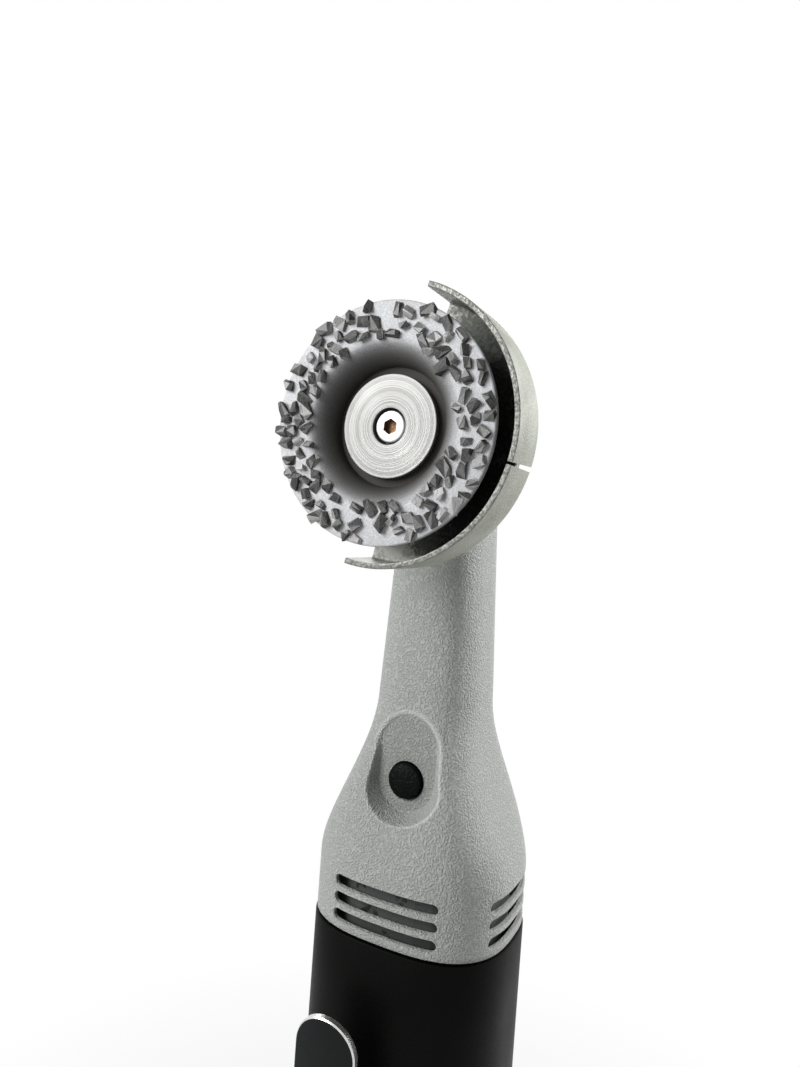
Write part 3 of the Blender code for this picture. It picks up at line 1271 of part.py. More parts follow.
place(neck_housing(), "neck_housing", SILVER)
place(gear_plate(), "gear_plate", SILVER, head_frame)
for number, spot in enumerate(plate_screw_spots(), 1):
    place(plate_screw(spot), f"gear_plate_screw_{number}", DARK_STEEL, head_frame)
place(bearing(FRONT_BEARING_RADIUS, SPINDLE_RADIUS + RUN, FRONT_BEARING_BACK, FRONT_BEARING_FRONT),
      "front_bearing", STEEL, head_frame)
place(bearing(REAR_BEARING_RADIUS, SPINDLE_TAIL + RUN, -GEAR_ROOM_BACK - REAR_BEARING_WIDTH, -GEAR_ROOM_BACK),
      "rear_bearing", STEEL, head_frame)
place(bearing(PINION_BEARING_RADIUS, DRIVE_RADIUS + RUN, PINION_BEARING_BOTTOM, PINION_BEARING_TOP),
      "pinion_bearing", STEEL)

place(spindle(), "spindle", STEEL, spindle_axis)
place(bevel_gear(), "bevel_gear", DARK_STEEL, spindle_axis)
place(inner_flange(), "inner_flange", TURNED, spindle_axis)
place(grinding_disc(), "grinding_disc", DISC_SILVER, spindle_axis)
place(clamp_flange(), "clamp_flange", TURNED, spindle_axis)
place(clamp_screw(), "clamp_screw", STEEL, spindle_axis)

place(guard(), "guard", GALVANISED, guard_axis)
place(guard_collar(), "guard_collar", GALVANISED, guard_axis)
place(collar_screw(), "guard_collar_screw", DARK_STEEL, guard_axis)

place(lock_button(), "lock_button", GLOSS, lock_axis)
place(lock_pin(), "lock_pin", STEEL, lock_axis)
place(lock_spring(), "lock_spring", STEEL, lock_frame)
place(lock_bridge(), "lock_bridge", STEEL, lock_frame)

place(drive_shaft(), "drive_shaft", STEEL, drive_axis)
place(bevel_pinion(), "bevel_pinion", DARK_STEEL, drive_axis)
place(lock_collar(), "lock_collar", STEEL, drive_axis)
place(shaft_coupling(), "shaft_coupling", BRASS, drive_axis)
place(motor_shaft(), "motor_shaft", STEEL, drive_axis)
place(cooling_fan(), "cooling_fan", GREY, drive_axis)
place(armature_core(), "armature_core", DARK_STEEL, drive_axis)
place(armature_winding(), "armature_winding", COPPER, drive_axis)
place(tube(COMMUTATOR_RADIUS, MOTOR_SHAFT_RADIUS + RUN, COMMUTATOR_BOTTOM, COMMUTATOR_TOP),
      "commutator", COPPER, drive_axis)

place(air_baffle(), "air_baffle", GREY)
place(motor_front_plate(), "motor_front_plate", GREY)
place(bearing(MOTOR_BEARING_RADIUS, MOTOR_SHAFT_RADIUS + RUN, MOTOR_BEARING_TOP - MOTOR_BEARING_WIDTH,
              MOTOR_BEARING_TOP), "motor_front_bearing", STEEL)
place(tube(CAN_RADIUS, CAN_BORE, CAN_BOTTOM, CAN_TOP), "motor_can", STEEL)
place(motor_end_bell(), "motor_end_bell", GREY)
place(bearing(REAR_MOTOR_BEARING_RADIUS, MOTOR_SHAFT_RADIUS + RUN,
              REAR_MOTOR_BEARING_TOP - MOTOR_BEARING_WIDTH, REAR_MOTOR_BEARING_TOP),
      "motor_rear_bearing", STEEL)
for side, label in ((-1, "left"), (1, "right")):
    place(magnet(side), f"magnet_{label}", FERRITE)
    place(brush_holder(side), f"brush_holder_{label}", BRASS)
    place(carbon_brush(side), f"carbon_brush_{label}", CARBON)

place(grip_body(), "grip_body", BLACK)
place(tail_cap(), "tail_cap", BLACK)
for number, spot in enumerate(TIE_SPOTS, 1):
    place(tie_screw(spot), f"tie_screw_{number}", DARK_STEEL)
place(power_inlet(), "power_inlet", GREY)
for label, points in lead_wires().items():
    place(wire(points, WIRE_RADIUS), label, SHEATH)

place(lever(), "throttle_lever", GLOSS, lever_axis)
place(lever_bracket(), "lever_bracket", DARK_STEEL, bracket_frame)
place(lever_pin(), "lever_pin", STEEL, bracket_frame)
place(lever_spring(), "lever_spring", STEEL, spring_frame)
place(switch_body(), "switch_body", GREY, switch_frame)
place(switch_plunger(), "switch_plunger", GREY, plunger_axis)
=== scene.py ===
import json
import random
from math import atan2, cos, degrees, pi, radians, sin, sqrt, tan

import bmesh
import bpy
import numpy as np
from mathutils import Matrix, Vector

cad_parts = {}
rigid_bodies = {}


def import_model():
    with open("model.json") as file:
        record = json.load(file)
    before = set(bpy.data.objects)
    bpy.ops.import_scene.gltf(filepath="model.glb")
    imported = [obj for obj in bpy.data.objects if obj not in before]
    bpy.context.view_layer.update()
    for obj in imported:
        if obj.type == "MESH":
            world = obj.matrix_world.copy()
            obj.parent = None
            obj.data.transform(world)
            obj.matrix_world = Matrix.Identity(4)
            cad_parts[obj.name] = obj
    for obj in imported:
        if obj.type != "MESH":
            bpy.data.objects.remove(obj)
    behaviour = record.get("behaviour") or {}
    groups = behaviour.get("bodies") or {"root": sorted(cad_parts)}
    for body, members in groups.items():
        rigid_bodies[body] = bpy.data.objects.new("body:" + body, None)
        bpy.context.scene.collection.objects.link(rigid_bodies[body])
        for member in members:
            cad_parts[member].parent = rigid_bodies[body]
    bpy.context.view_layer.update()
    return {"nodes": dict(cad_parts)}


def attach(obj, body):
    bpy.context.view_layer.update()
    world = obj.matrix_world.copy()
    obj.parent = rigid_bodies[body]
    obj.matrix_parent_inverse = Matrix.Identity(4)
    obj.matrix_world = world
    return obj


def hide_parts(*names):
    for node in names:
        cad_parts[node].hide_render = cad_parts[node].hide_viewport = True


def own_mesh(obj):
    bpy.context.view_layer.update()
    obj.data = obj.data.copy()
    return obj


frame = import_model()
cadNodes = frame["nodes"]
scene = bpy.context.scene
scene.view_settings.view_transform = "Standard"
mm = 0.001
tiny = 1e-9
weldWithin = 1e-7
cornerLimit = 0.48  # of each side, at most, goes into a rounded corner
spindleHeight = 244.5 * mm
facing = Matrix.Rotation(pi / 2, 4, "X")  # local z points out of the front
headFrame = Matrix.Translation((0, 0, spindleHeight)) @ facing
fourCorners = [(sx, sy) for sx in (-1, 1) for sy in (-1, 1)]
print("frame loaded:", len(cadNodes), "nodes")


# camera, as the picture was taken

photoView = {
    "place": (0.07557, -0.16983, 0.22374), "right": (0.8836, 0.4628, 0.0715),
    "down": (0.0680, 0.0243, -0.9974), "focalPixels": 740, "frameHeight": 1067, "sensor": 36,
    "clipStart": 0.01, }


def addCamera(view):
    camera = bpy.data.objects.new("photoCamera", bpy.data.cameras.new("photoCamera"))
    scene.collection.objects.link(camera)
    right = Vector(view["right"]).normalized()
    up = -Vector(view["down"])
    up = (up - right * up.dot(right)).normalized()
    turn = Matrix((right, up, right.cross(up))).transposed().to_4x4()
    camera.matrix_world = Matrix.Translation(view["place"]) @ turn
    camera.data.sensor_width = view["sensor"]
    camera.data.lens = view["focalPixels"] * view["sensor"] / view["frameHeight"]
    camera.data.clip_start = view["clipStart"]
    scene.camera = camera


addCamera(photoView)


# node helpers, for shader and geometry trees

def addNode(tree, kind, inputs=None, **settings):
    # an input takes a plain value, or the output socket that feeds it
    node = tree.nodes.new(kind)
    node.location = (220 * (len(tree.nodes) % 8), -260 * (len(tree.nodes) // 8))
    for key, value in settings.items():
        setattr(node, key, value)
    for key, value in (inputs or {}).items():
        if isinstance(value, bpy.types.NodeSocket):
            tree.links.new(value, node.inputs[key])
        else:
            node.inputs[key].default_value = value
    return node


def calc(tree, operation, *values, clamp=False):
    return addNode(tree, "ShaderNodeMath", dict(enumerate(values)), operation=operation,
                   use_clamp=clamp).outputs[0]


def noise(tree, vector, scale, detail, dimensions="3D"):
    spot = "W" if dimensions == "1D" else "Vector"
    return addNode(tree, "ShaderNodeTexNoise", {"Scale": scale, "Detail": detail, spot: vector},
                   noise_dimensions=dimensions).outputs["Fac"]


def remap(tree, value, source, target=(0, 1)):
    limits = dict(zip(("From Min", "From Max", "To Min", "To Max"), (*source, *target)))
    return addNode(tree, "ShaderNodeMapRange", {"Value": value, **limits}).outputs["Result"]


def blend(tree, share, low, high, kind="MIX"):
    # from one colour to another; either may be the output of a node
    colours = [c if isinstance(c, bpy.types.NodeSocket) else (*c, 1) for c in (low, high)]
    return addNode(tree, "ShaderNodeMix", {0: share, 6: colours[0], 7: colours[1]},
                   data_type="RGBA", blend_type=kind).outputs[2]


def attribute(tree, name):
    return addNode(tree, "ShaderNodeAttribute", attribute_name=name).outputs["Fac"]


# effects that more than one finish uses

def newGroup(name, inputs, outputs):
    group = bpy.data.node_groups.new(name, "ShaderNodeTree")
    group.interface.new_socket("Vector", in_out="INPUT", socket_type="NodeSocketVector")
    for label, value in inputs.items():
        group.interface.new_socket(label, in_out="INPUT", socket_type="NodeSocketFloat").default_value = value
    for label in outputs:
        group.interface.new_socket(label, in_out="OUTPUT", socket_type="NodeSocketFloat")
    return group, addNode(group, "NodeGroupInput").outputs


pebble = {"detail": 1.5, "step": (0.36, 0.64), "finer": 2.7, "fineDetail": 2, "fineShare": 0.5}


def makePebble(p):
    # grains of one size with a finer grit on them
    group, given = newGroup("pebbleGrain", {"Grain": 1300.0}, ("Height", "Tone"))
    coarse = remap(group, noise(group, given["Vector"], given["Grain"], p["detail"]), p["step"])
    finer = calc(group, "MULTIPLY", given["Grain"], p["finer"])
    grit = calc(group, "MULTIPLY", noise(group, given["Vector"], finer, p["fineDetail"]), p["fineShare"])
    addNode(group, "NodeGroupOutput", {"Height": calc(group, "ADD", coarse, grit), "Tone": coarse})
    return group


patches = {"broadDetail": 4, "broadStep": (0.3, 0.7), "speckDetail": 2, "speckStep": (0.38, 0.62)}


def makeMottle(p):
    # soft patches of tone at two sizes, for zinc, cast and moulded skins
    group, given = newGroup("mottle", {"Patch": 200.0, "Speck": 2500.0, "Speck Share": 0.4},
                            ("Mask", "Speck"))
    broad = remap(group, noise(group, given["Vector"], given["Patch"], p["broadDetail"]), p["broadStep"])
    speck = remap(group, noise(group, given["Vector"], given["Speck"], p["speckDetail"]), p["speckStep"])
    fine = calc(group, "MULTIPLY", speck, given["Speck Share"])
    rest = calc(group, "MULTIPLY", broad, calc(group, "SUBTRACT", 1, given["Speck Share"]))
    addNode(group, "NodeGroupOutput", {"Mask": calc(group, "ADD", fine, rest), "Speck": speck})
    return group


lathe = {"fineDetail": 3, "fineShare": 0.6, "slowRatio": 0.11, "slowDetail": 2, "slowShare": 0.4}


def makeLatheRings(p):
    # fine rings left by a lathe, about the spindle
    group, given = newGroup("latheRings", {"Pitch": 6000.0}, ("Height", "Tone", "Radius"))
    parts = addNode(group, "ShaderNodeSeparateXYZ", {0: given["Vector"]}).outputs
    lower = calc(group, "SUBTRACT", parts["Z"], spindleHeight)
    squares = calc(group, "ADD", calc(group, "POWER", parts["X"], 2), calc(group, "POWER", lower, 2))
    radius = calc(group, "SQRT", squares)
    steps = calc(group, "MULTIPLY", radius, given["Pitch"])
    fine = noise(group, steps, 1.0, p["fineDetail"], "1D")
    slow = noise(group, calc(group, "MULTIPLY", steps, p["slowRatio"]), 1.0, p["slowDetail"], "1D")
    tone = calc(group, "ADD", calc(group, "MULTIPLY", fine, p["fineShare"]),
                calc(group, "MULTIPLY", slow, p["slowShare"]))
    addNode(group, "NodeGroupOutput", {"Height": fine, "Tone": tone, "Radius": radius})
    return group


pebbleGrain, mottle, latheRings = makePebble(pebble), makeMottle(patches), makeLatheRings(lathe)


# finishes

plainSkin = {"roughSpread": 0.08, "metallic": 0.0, "specular": 0.5, "patch": 300.0, "speck": 2600.0,
             "speckShare": 0.5, "relief": 0.00003, "mask": (0.0, 1.0)}
finishes = {
    # the last two colours of the silver paint are painted shade in the lock pocket and a painted highlight on
    # the pocket's lip
    "silverPaint": {"low": (0.35, 0.36, 0.345), "high": (0.48, 0.49, 0.475), "grime": (0.80, 0.80, 0.79),
                    "worn": (0.62, 0.63, 0.61), "roughness": 0.44, "specular": 0.20, "grain": 2300.0,
                    "relief": 0.00024},
    "blackMoulding": {"low": (0.0006, 0.0006, 0.0006), "high": (0.0018, 0.0018, 0.0016), "roughness": 0.42,
                      "roughSpread": 0.05, "specular": 0.05, "patch": 90.0, "speck": 4200.0,
                      "speckShare": 0.6, "relief": 0.00002},
    "buttonBlack": {"low": (0.0008, 0.0012, 0.001), "high": (0.003, 0.004, 0.0035), "roughness": 0.30,
                    "specular": 0.06, "patch": 400.0, "speck": 1700.0, "relief": 0.00012},
    "leverBlack": {"low": (0.002, 0.003, 0.003), "high": (0.006, 0.008, 0.0085), "roughness": 0.34,
                   "roughSpread": 0.05, "specular": 0.13, "patch": 150.0, "speck": 3000.0, "relief": 0.00001},
    "leverEdge": {"low": (0.50, 0.50, 0.49), "high": (0.80, 0.80, 0.79), "roughness": 0.28,
                  "roughSpread": 0.06, "metallic": 0.9, "speck": 3000.0, "relief": 0.00001},
    "zincOutside": {"low": (0.24, 0.25, 0.215), "high": (0.37, 0.38, 0.33), "roughness": 0.60,
                    "metallic": 0.15, "specular": 0.3, "patch": 160.0, "speck": 2200.0, "speckShare": 0.45},
    "zincCutEdge": {"low": (0.085, 0.085, 0.077), "high": (0.27, 0.27, 0.25), "roughness": 0.45,
                    "roughSpread": 0.12, "metallic": 0.35, "patch": 500.0, "speck": 1700.0,
                    "speckShare": 0.65, "relief": 0.00004},
    "turnedAluminium": {"low": (0.18, 0.18, 0.175), "high": (0.34, 0.34, 0.33), "roughness": 0.44,
                        "metallic": 0.80, "pitch": 6500.0, "toneStep": (0.35, 0.65), "relief": 0.00007},
    "brightSteel": {"low": (0.30, 0.30, 0.29), "high": (0.42, 0.42, 0.41), "roughness": 0.42,
                    "roughSpread": 0.06, "metallic": 1.0, "speckShare": 0.2, "relief": 0.000005},
    "oiledSteel": {"low": (0.05, 0.05, 0.05), "high": (0.11, 0.105, 0.10), "roughness": 0.38, "metallic": 0.9,
                   "speckShare": 0.4, "relief": 0.00001},
    "brownSocket": {"low": (0.06, 0.030, 0.013), "high": (0.26, 0.135, 0.058), "roughness": 0.42,
                    "roughSpread": 0.1, "metallic": 0.4, "specular": 0.3, "patch": 900.0, "speck": 3000.0,
                    "speckShare": 0.4},
    "baffleGrey": {"low": (0.006, 0.006, 0.006), "high": (0.06, 0.068, 0.064), "roughness": 0.6,
                   "specular": 0.3, "patch": 260.0, "speck": 2400.0, "speckShare": 0.12,
                   "mask": (0.12, 0.26)},
    "greyMoulding": {"low": (0.022, 0.025, 0.024), "high": (0.055, 0.062, 0.060), "roughness": 0.55,
                     "specular": 0.3, "patch": 180.0, "speck": 2400.0},
    "brassPressed": {"low": (0.50, 0.34, 0.13), "high": (0.70, 0.51, 0.22), "roughness": 0.34,
                     "metallic": 1.0, "patch": 260.0, "speckShare": 0.4, "relief": 0.00001},
    "copperWire": {"low": (0.40, 0.16, 0.07), "high": (0.62, 0.29, 0.14), "roughness": 0.36, "metallic": 1.0,
                   "patch": 700.0, "relief": 0.00004},
    "darkCeramic": {"low": (0.025, 0.025, 0.025), "high": (0.065, 0.065, 0.065), "roughness": 0.72,
                    "roughSpread": 0.06, "specular": 0.3},
    "wireSheath": {"low": (0.17, 0.015, 0.015), "high": (0.30, 0.035, 0.030), "roughness": 0.48,
                   "roughSpread": 0.06, "patch": 250.0, "speck": 2400.0, "speckShare": 0.4,
                   "relief": 0.00001},
}


def startMaterial(name, s):
    material = bpy.data.materials.new(name)
    material.use_nodes = True
    tree = material.node_tree
    sockets = tree.nodes["Principled BSDF"].inputs
    sockets["Base Color"].default_value = (*s["high"], 1)
    sockets["Roughness"].default_value = s["roughness"]
    sockets["Metallic"].default_value = s["metallic"]
    sockets["Specular IOR Level"].default_value = s["specular"]
    return material, tree, sockets, addNode(tree, "ShaderNodeTexCoord").outputs["Object"]


def useGroup(tree, group, coords, values):
    return addNode(tree, "ShaderNodeGroup", {"Vector": coords, **values}, node_tree=group).outputs


def useMottle(tree, coords, s):
    return useGroup(tree, mottle, coords,
                    {"Patch": s["patch"], "Speck": s["speck"], "Speck Share": s["speckShare"]})


def dress(tree, sockets, colour, height, s, mask=None):
    # colour, relief, and a gloss that follows the mask
    tree.links.new(colour, sockets["Base Color"])
    bump = addNode(tree, "ShaderNodeBump", {"Strength": 1.0, "Distance": s["relief"], "Height": height})
    tree.links.new(bump.outputs["Normal"], sockets["Normal"])
    if mask is not None:
        ends = (s["roughness"] + s["roughSpread"], s["roughness"] - s["roughSpread"])
        tree.links.new(remap(tree, mask, (0, 1), ends), sockets["Roughness"])


def pebbledPaint(name, s):
    material, tree, sockets, coords = startMaterial(name, s)
    grain = useGroup(tree, pebbleGrain, coords, {"Grain": s["grain"]})
    paint = blend(tree, grain["Tone"], s["low"], s["high"])
    # painted shade darkens the pocket's floor and walls, and a painted highlight brightens its lip
    paint = blend(tree, attribute(tree, "grime"), paint, s["grime"], "MULTIPLY")
    paint = blend(tree, attribute(tree, "worn"), paint, s["worn"])
    dress(tree, sockets, paint, grain["Height"], s, grain["Tone"])
    return material


def mottledSkin(name, s):
    material, tree, sockets, coords = startMaterial(name, s)
    spots = useMottle(tree, coords, s)
    mask = remap(tree, spots["Mask"], s["mask"])
    dress(tree, sockets, blend(tree, mask, s["low"], s["high"]), spots["Speck"], s, mask)
    return material


def latheTurned(name, s):
    material, tree, sockets, coords = startMaterial(name, s)
    rings = useGroup(tree, latheRings, coords, {"Pitch": s["pitch"]})
    tone = remap(tree, rings["Tone"], s["toneStep"])
    dress(tree, sockets, blend(tree, tone, s["low"], s["high"]), rings["Height"], s)
    return material


looks = {}
for label, own in finishes.items():
    make = pebbledPaint if "grain" in own else latheTurned if "pitch" in own else mottledSkin
    looks[label] = make(label, {**plainSkin, **own})

# plated disc: silver on its ring, with painted shade darkening it down the dish
discFinish = {"low": (0.45, 0.455, 0.47), "high": (0.64, 0.645, 0.66), "dishShade": (0.046, 0.044, 0.040),
              "roughness": 0.55, "metallic": 0.10, "specular": 0.1, "patch": 240.0, "speck": 3200.0,
              "speckShare": 0.7, "relief": 0.00002, "darkRadius": 12.3 * mm, "silverRadius": 18.0 * mm,
              "fall": 2.3}


def platedDisc(name, s):
    material, tree, sockets, coords = startMaterial(name, s)
    spots = useMottle(tree, coords, s)
    silver = blend(tree, spots["Mask"], s["low"], s["high"])
    radius = useGroup(tree, latheRings, coords, {})["Radius"]
    # painted shade, deepest at the floor of the dish and gone at the ring
    share = calc(tree, "POWER", remap(tree, radius, (s["darkRadius"], s["silverRadius"])), s["fall"])
    dress(tree, sockets, blend(tree, share, s["dishShade"], silver), spots["Speck"], s)
    return material


# broken carbide: every chip has a tone of its own, and every broken face a random painted glint on top,
# bright on a few of them
chipFinish = {"low": (0.018, 0.017, 0.0155), "high": (0.60, 0.595, 0.59), "roughness": 0.40, "metallic": 0.05,
              "specular": 0.15, "patch": 900.0, "speck": 2800.0, "speckShare": 0.5, "relief": 0.00006,
              "bodyPower": 1.6, "bodyShare": 0.08, "silverFrom": (0.80, 0.92), "silverShare": 0.45,
              "facetPower": 3.0, "facetShare": 0.75, "gritShare": 0.10}


def brokenCarbide(name, s):
    material, tree, sockets, coords = startMaterial(name, s)
    tone, facet = attribute(tree, "chipTone"), attribute(tree, "facetTone")
    spots = useMottle(tree, coords, s)
    body = calc(tree, "MULTIPLY", calc(tree, "POWER", tone, s["bodyPower"]), s["bodyShare"])
    silver = remap(tree, tone, s["silverFrom"], (0, s["silverShare"]))
    # painted glint: a few broken faces are made much paler, as if they caught the light
    broken = calc(tree, "MULTIPLY", calc(tree, "POWER", facet, s["facetPower"]), s["facetShare"])
    grit = calc(tree, "MULTIPLY", spots["Mask"], s["gritShare"])
    mixed = calc(tree, "ADD", calc(tree, "ADD", body, silver), calc(tree, "ADD", broken, grit), clamp=True)
    dress(tree, sockets, blend(tree, mixed, s["low"], s["high"]), spots["Speck"], s)
    return material


# inside of the guard: painted shade makes it dark in its middle, behind the disc, turning to mottled zinc
# towards its ends
guardInside = {"low": (0.004, 0.0045, 0.003), "grey": (0.10, 0.105, 0.09), "high": (0.50, 0.50, 0.47),
               "roughness": 0.5, "metallic": 0.2, "specular": 0.2, "patch": 240.0, "speck": 1500.0,
               "speckShare": 0.45, "relief": 0.00003, "wander": 0.5, "greyStep": (0.0, 0.5),
               "unshadedStep": (0.6, 1.0)}


def zincInside(name, s):
    material, tree, sockets, coords = startMaterial(name, s)
    spots = useMottle(tree, coords, s)
    patchy = calc(tree, "SUBTRACT", calc(tree, "MULTIPLY", spots["Mask"], s["wander"]), s["wander"] / 2)
    # the mottle moves the edge of the painted shade about
    moved = calc(tree, "ADD", attribute(tree, "bareShare"), patchy)
    grey = blend(tree, remap(tree, moved, s["greyStep"]), s["low"], s["grey"])
    bare = blend(tree, remap(tree, moved, s["unshadedStep"]), grey, s["high"])
    dress(tree, sockets, bare, spots["Speck"], s)
    return material


looks["platedDisc"] = platedDisc("platedDisc", discFinish)
looks["brokenCarbide"] = brokenCarbide("brokenCarbide", chipFinish)
looks["zincInside"] = zincInside("zincInside", guardInside)
print("finishes made:", len(looks))


# mesh helpers

def inMm(points):
    return [tuple(value * mm for value in point) for point in points]


def arc(centre, radius, start, end, steps):
    turns = [start + (end - start) * i / steps for i in range(steps + 1)]
    return [(centre[0] + radius * cos(a), centre[1] + radius * sin(a)) for a in turns]


def softened(points, radius, steps):
    # rounds the corners of a closed outline
    result = []
    for i, corner in enumerate(points):
        here = Vector(corner)
        before = Vector(points[i - 1]) - here
        after = Vector(points[(i + 1) % len(points)]) - here
        size = radius[i] if isinstance(radius, (list, tuple)) else radius
        if size <= 0 or before.length < tiny or after.length < tiny:
            result.append(tuple(here))
            continue
        longest = cornerLimit * min(before.length, after.length)
        reach = min(size / tan(before.angle(after) / 2), longest)
        start = here + before.normalized() * reach
        end = here + after.normalized() * reach
        for k in range(steps + 1):
            t = k / steps
            result.append(tuple(start * (1 - t) ** 2 + here * 2 * t * (1 - t) + end * t ** 2))
    return result


def mended(mesh):
    work = bmesh.new()
    work.from_mesh(mesh)
    bmesh.ops.remove_doubles(work, verts=work.verts, dist=weldWithin)
    bmesh.ops.recalc_face_normals(work, faces=work.faces)
    work.to_mesh(mesh)
    work.free()
    return mesh


def meshFrom(name, verts, faces, matrix=None):
    mesh = bpy.data.meshes.new(name)
    mesh.from_pydata([tuple(v) for v in verts], [], faces)
    mended(mesh)
    if matrix is not None:
        mesh.transform(matrix)
    return mesh


def revolve(name, profile, sides, matrix=None):
    verts, faces = [], []
    count = len(profile)
    for i in range(sides):
        a = 2 * pi * i / sides
        verts += [(r * cos(a), r * sin(a), h) for r, h in profile]
    closed = profile[0][0] > tiny and profile[-1][0] > tiny
    for i in range(sides):
        low, high = i * count, ((i + 1) % sides) * count
        for k in range(count if closed else count - 1):
            n = (k + 1) % count
            quad = [low + k, low + n, high + n, high + k]
            if profile[k][0] < tiny:
                quad = [low + k, low + n, high + n]
            elif profile[n][0] < tiny:
                quad = [low + k, low + n, high + k]
            faces.append(quad)
    return meshFrom(name, verts, faces, matrix)


def turned(name, points, radii, sides, matrix=None, steps=3):
    # a turned part from its corners in millimetres
    return revolve(name, inMm(softened(points, radii, steps)), sides, matrix)


def drill(radius, low, high, sides, matrix=None):
    return revolve("hole", inMm([(0, low), (radius, low), (radius, high), (0, high)]), sides, matrix)


def edgedHole(radius, deep, face, mouth):
    # a plain hole whose mouth widens a little at the face
    low, high, grow, top = mouth
    return [(0, deep), (radius, deep), (radius, face + low), (radius + grow, face + high),
            (radius + grow, face + top), (0, face + top)]


def skin(name, rings, matrix=None, loop=False):
    # capped at both ends, or closed on itself
    count, total = len(rings[0]), len(rings)
    faces = []
    for k in range(total if loop else total - 1):
        n = (k + 1) % total
        for i in range(count):
            j = (i + 1) % count
            faces.append([k * count + i, k * count + j, n * count + j, n * count + i])
    if not loop:
        faces.append(list(range(count))[::-1])
        faces.append([(total - 1) * count + i for i in range(count)])
    return meshFrom(name, [p for ring in rings for p in ring], faces, matrix)


def level(outline, z):
    return [(x, y, z) for x, y in outline]


def slab(name, outline, low, high, edge, steps=3):
    # a flat plate with rounded edges all round
    points = np.array(outline)
    ahead = np.roll(points, -1, axis=0) - points
    behind = points - np.roll(points, 1, axis=0)
    normals = np.stack([ahead[:, 1] + behind[:, 1], -ahead[:, 0] - behind[:, 0]], axis=1)
    normals /= np.maximum(np.linalg.norm(normals, axis=1, keepdims=True), 1e-12)
    if np.sum(normals * (points - np.mean(points, axis=0))) < 0:
        normals = -normals
    turns = [pi / 2 * k / steps for k in range(steps + 1)]
    rings = [level(points - normals * edge * (1 - sin(a)), low + edge * (1 - cos(a))) for a in turns]
    rings += [level(points - normals * edge * (1 - cos(a)), high - edge + edge * sin(a)) for a in turns]
    return skin(name, rings)


def box(name, low, high, edge=0.0, edgeShare=0.7):
    (a, c, bottom), (b, d, top) = inMm([low, high])
    outline = [(a, c), (b, c), (b, d), (a, d)]
    if edge:
        return slab(name, softened(outline, edge * mm, 3), bottom, top, edge * mm * edgeShare)
    return skin(name, [level(outline, z) for z in (bottom, top)])


def hold(mesh):
    shape = bpy.data.objects.new(mesh.name, mesh)
    scene.collection.objects.link(shape)
    return shape


def settled(shape):
    # the evaluated mesh, with the object and its modifiers gone
    graph = bpy.context.evaluated_depsgraph_get()
    mesh = bpy.data.meshes.new_from_object(shape.evaluated_get(graph))
    bpy.data.objects.remove(shape)
    return mesh


def triangulated(mesh):
    work = bmesh.new()
    work.from_mesh(mesh)
    bmesh.ops.triangulate(work, faces=work.faces)
    work.to_mesh(mesh)
    work.free()
    return mesh


def shaped(mesh, tool, operation="DIFFERENCE"):
    # bent faces are split first, because the exact solver takes every face as flat
    body, other = hold(triangulated(mesh)), hold(triangulated(tool))
    change = body.modifiers.new("shape", "BOOLEAN")
    change.operation = operation
    change.solver = "EXACT"
    change.object = other
    result = settled(body)
    bpy.data.objects.remove(other)
    return result


def gathered(name, meshes):
    work = bmesh.new()
    for mesh in meshes:
        work.from_mesh(mesh)
    result = bpy.data.meshes.new(name)
    work.to_mesh(result)
    work.free()
    return result


def piece(name, mesh, look, body, stands=(), sharp=32):
    # with a list of looks, every face already holds the number of its own
    several = isinstance(look, list)
    marks = [face.material_index if several else 0 for face in mesh.polygons]
    mesh.name = name
    shape = hold(mesh)
    shape.name = name
    mesh.materials.clear()
    for each in look if several else [look]:
        mesh.materials.append(looks[each])
    for face, mark in zip(mesh.polygons, marks):
        face.material_index = mark
    if sharp:
        mesh.shade_smooth()
        mesh.set_sharp_from_angle(angle=radians(sharp))
    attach(shape, body)
    if stands:
        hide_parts(*stands)
    return shape


def paintFaces(mesh, choose):
    for face in mesh.polygons:
        face.material_index = choose(face.center, face.normal)


# neck housing: one casing from the gear head to the seam

neck = {
    "seam": 128.4 * mm, "tipHalf": 10.2 * mm, "rootHalf": 12.88 * mm, "neckPower": 3.0, "backSet": 1.0 * mm,
    "flareDrop": 61.3 * mm, "flareLength": 41.2 * mm, "ridgeGain": 2.2, "ridgeTurn": pi / 6,
    "bodyHalf": (24.6 * mm, 21.3 * mm), "bodyPower": 2.8,
    "wall": 2.2 * mm, "ventWall": 1.05 * mm, "thinRise": 14 * mm, "thinFade": 6 * mm, "cavityDrop": 73 * mm,
    "throatRise": 8 * mm, "throatDrop": 20 * mm, "throatSpread": 2.0 * mm, "throatFrom": 21 * mm,
    "topDrop": 5 * mm, "seamEdge": ((0.0, 0.45), (0.12, 0.2), (0.4, 0.0)), "sideRise": 1.5 * mm,
    "pocketMargin": 4 * mm, "bandHalf": 10.6 * mm, "bandShare": 0.80, "bandColumns": 150, "restColumns": 96,
    "pathSteps": 800, "sideRows": 20, "pocketRows": 210, "shankRows": 10, "throatRows": 16, "lowRows": 4,
    "cavityRows": 26, }
pocket = {
    "drop": 80.4 * mm, "floor": 13.2 * mm, "tilt": 0.050, "radius": 7.2 * mm, "archRise": 8.0 * mm,
    "archHeight": 7.0 * mm, "leftSlope": 2.4, "rightSlope": 1.2, "lowSlope": 3.2, "archSlope": 0.8,
    "lipRound": 0.6 * mm, "footRound": 0.12 * mm, "backing": 1.6 * mm, "buttonHole": 4.45 * mm,
    "holeBack": 10 * mm, "holeMouth": (-0.2 * mm, 0.02 * mm, 0.25 * mm, 2.8 * mm),
}
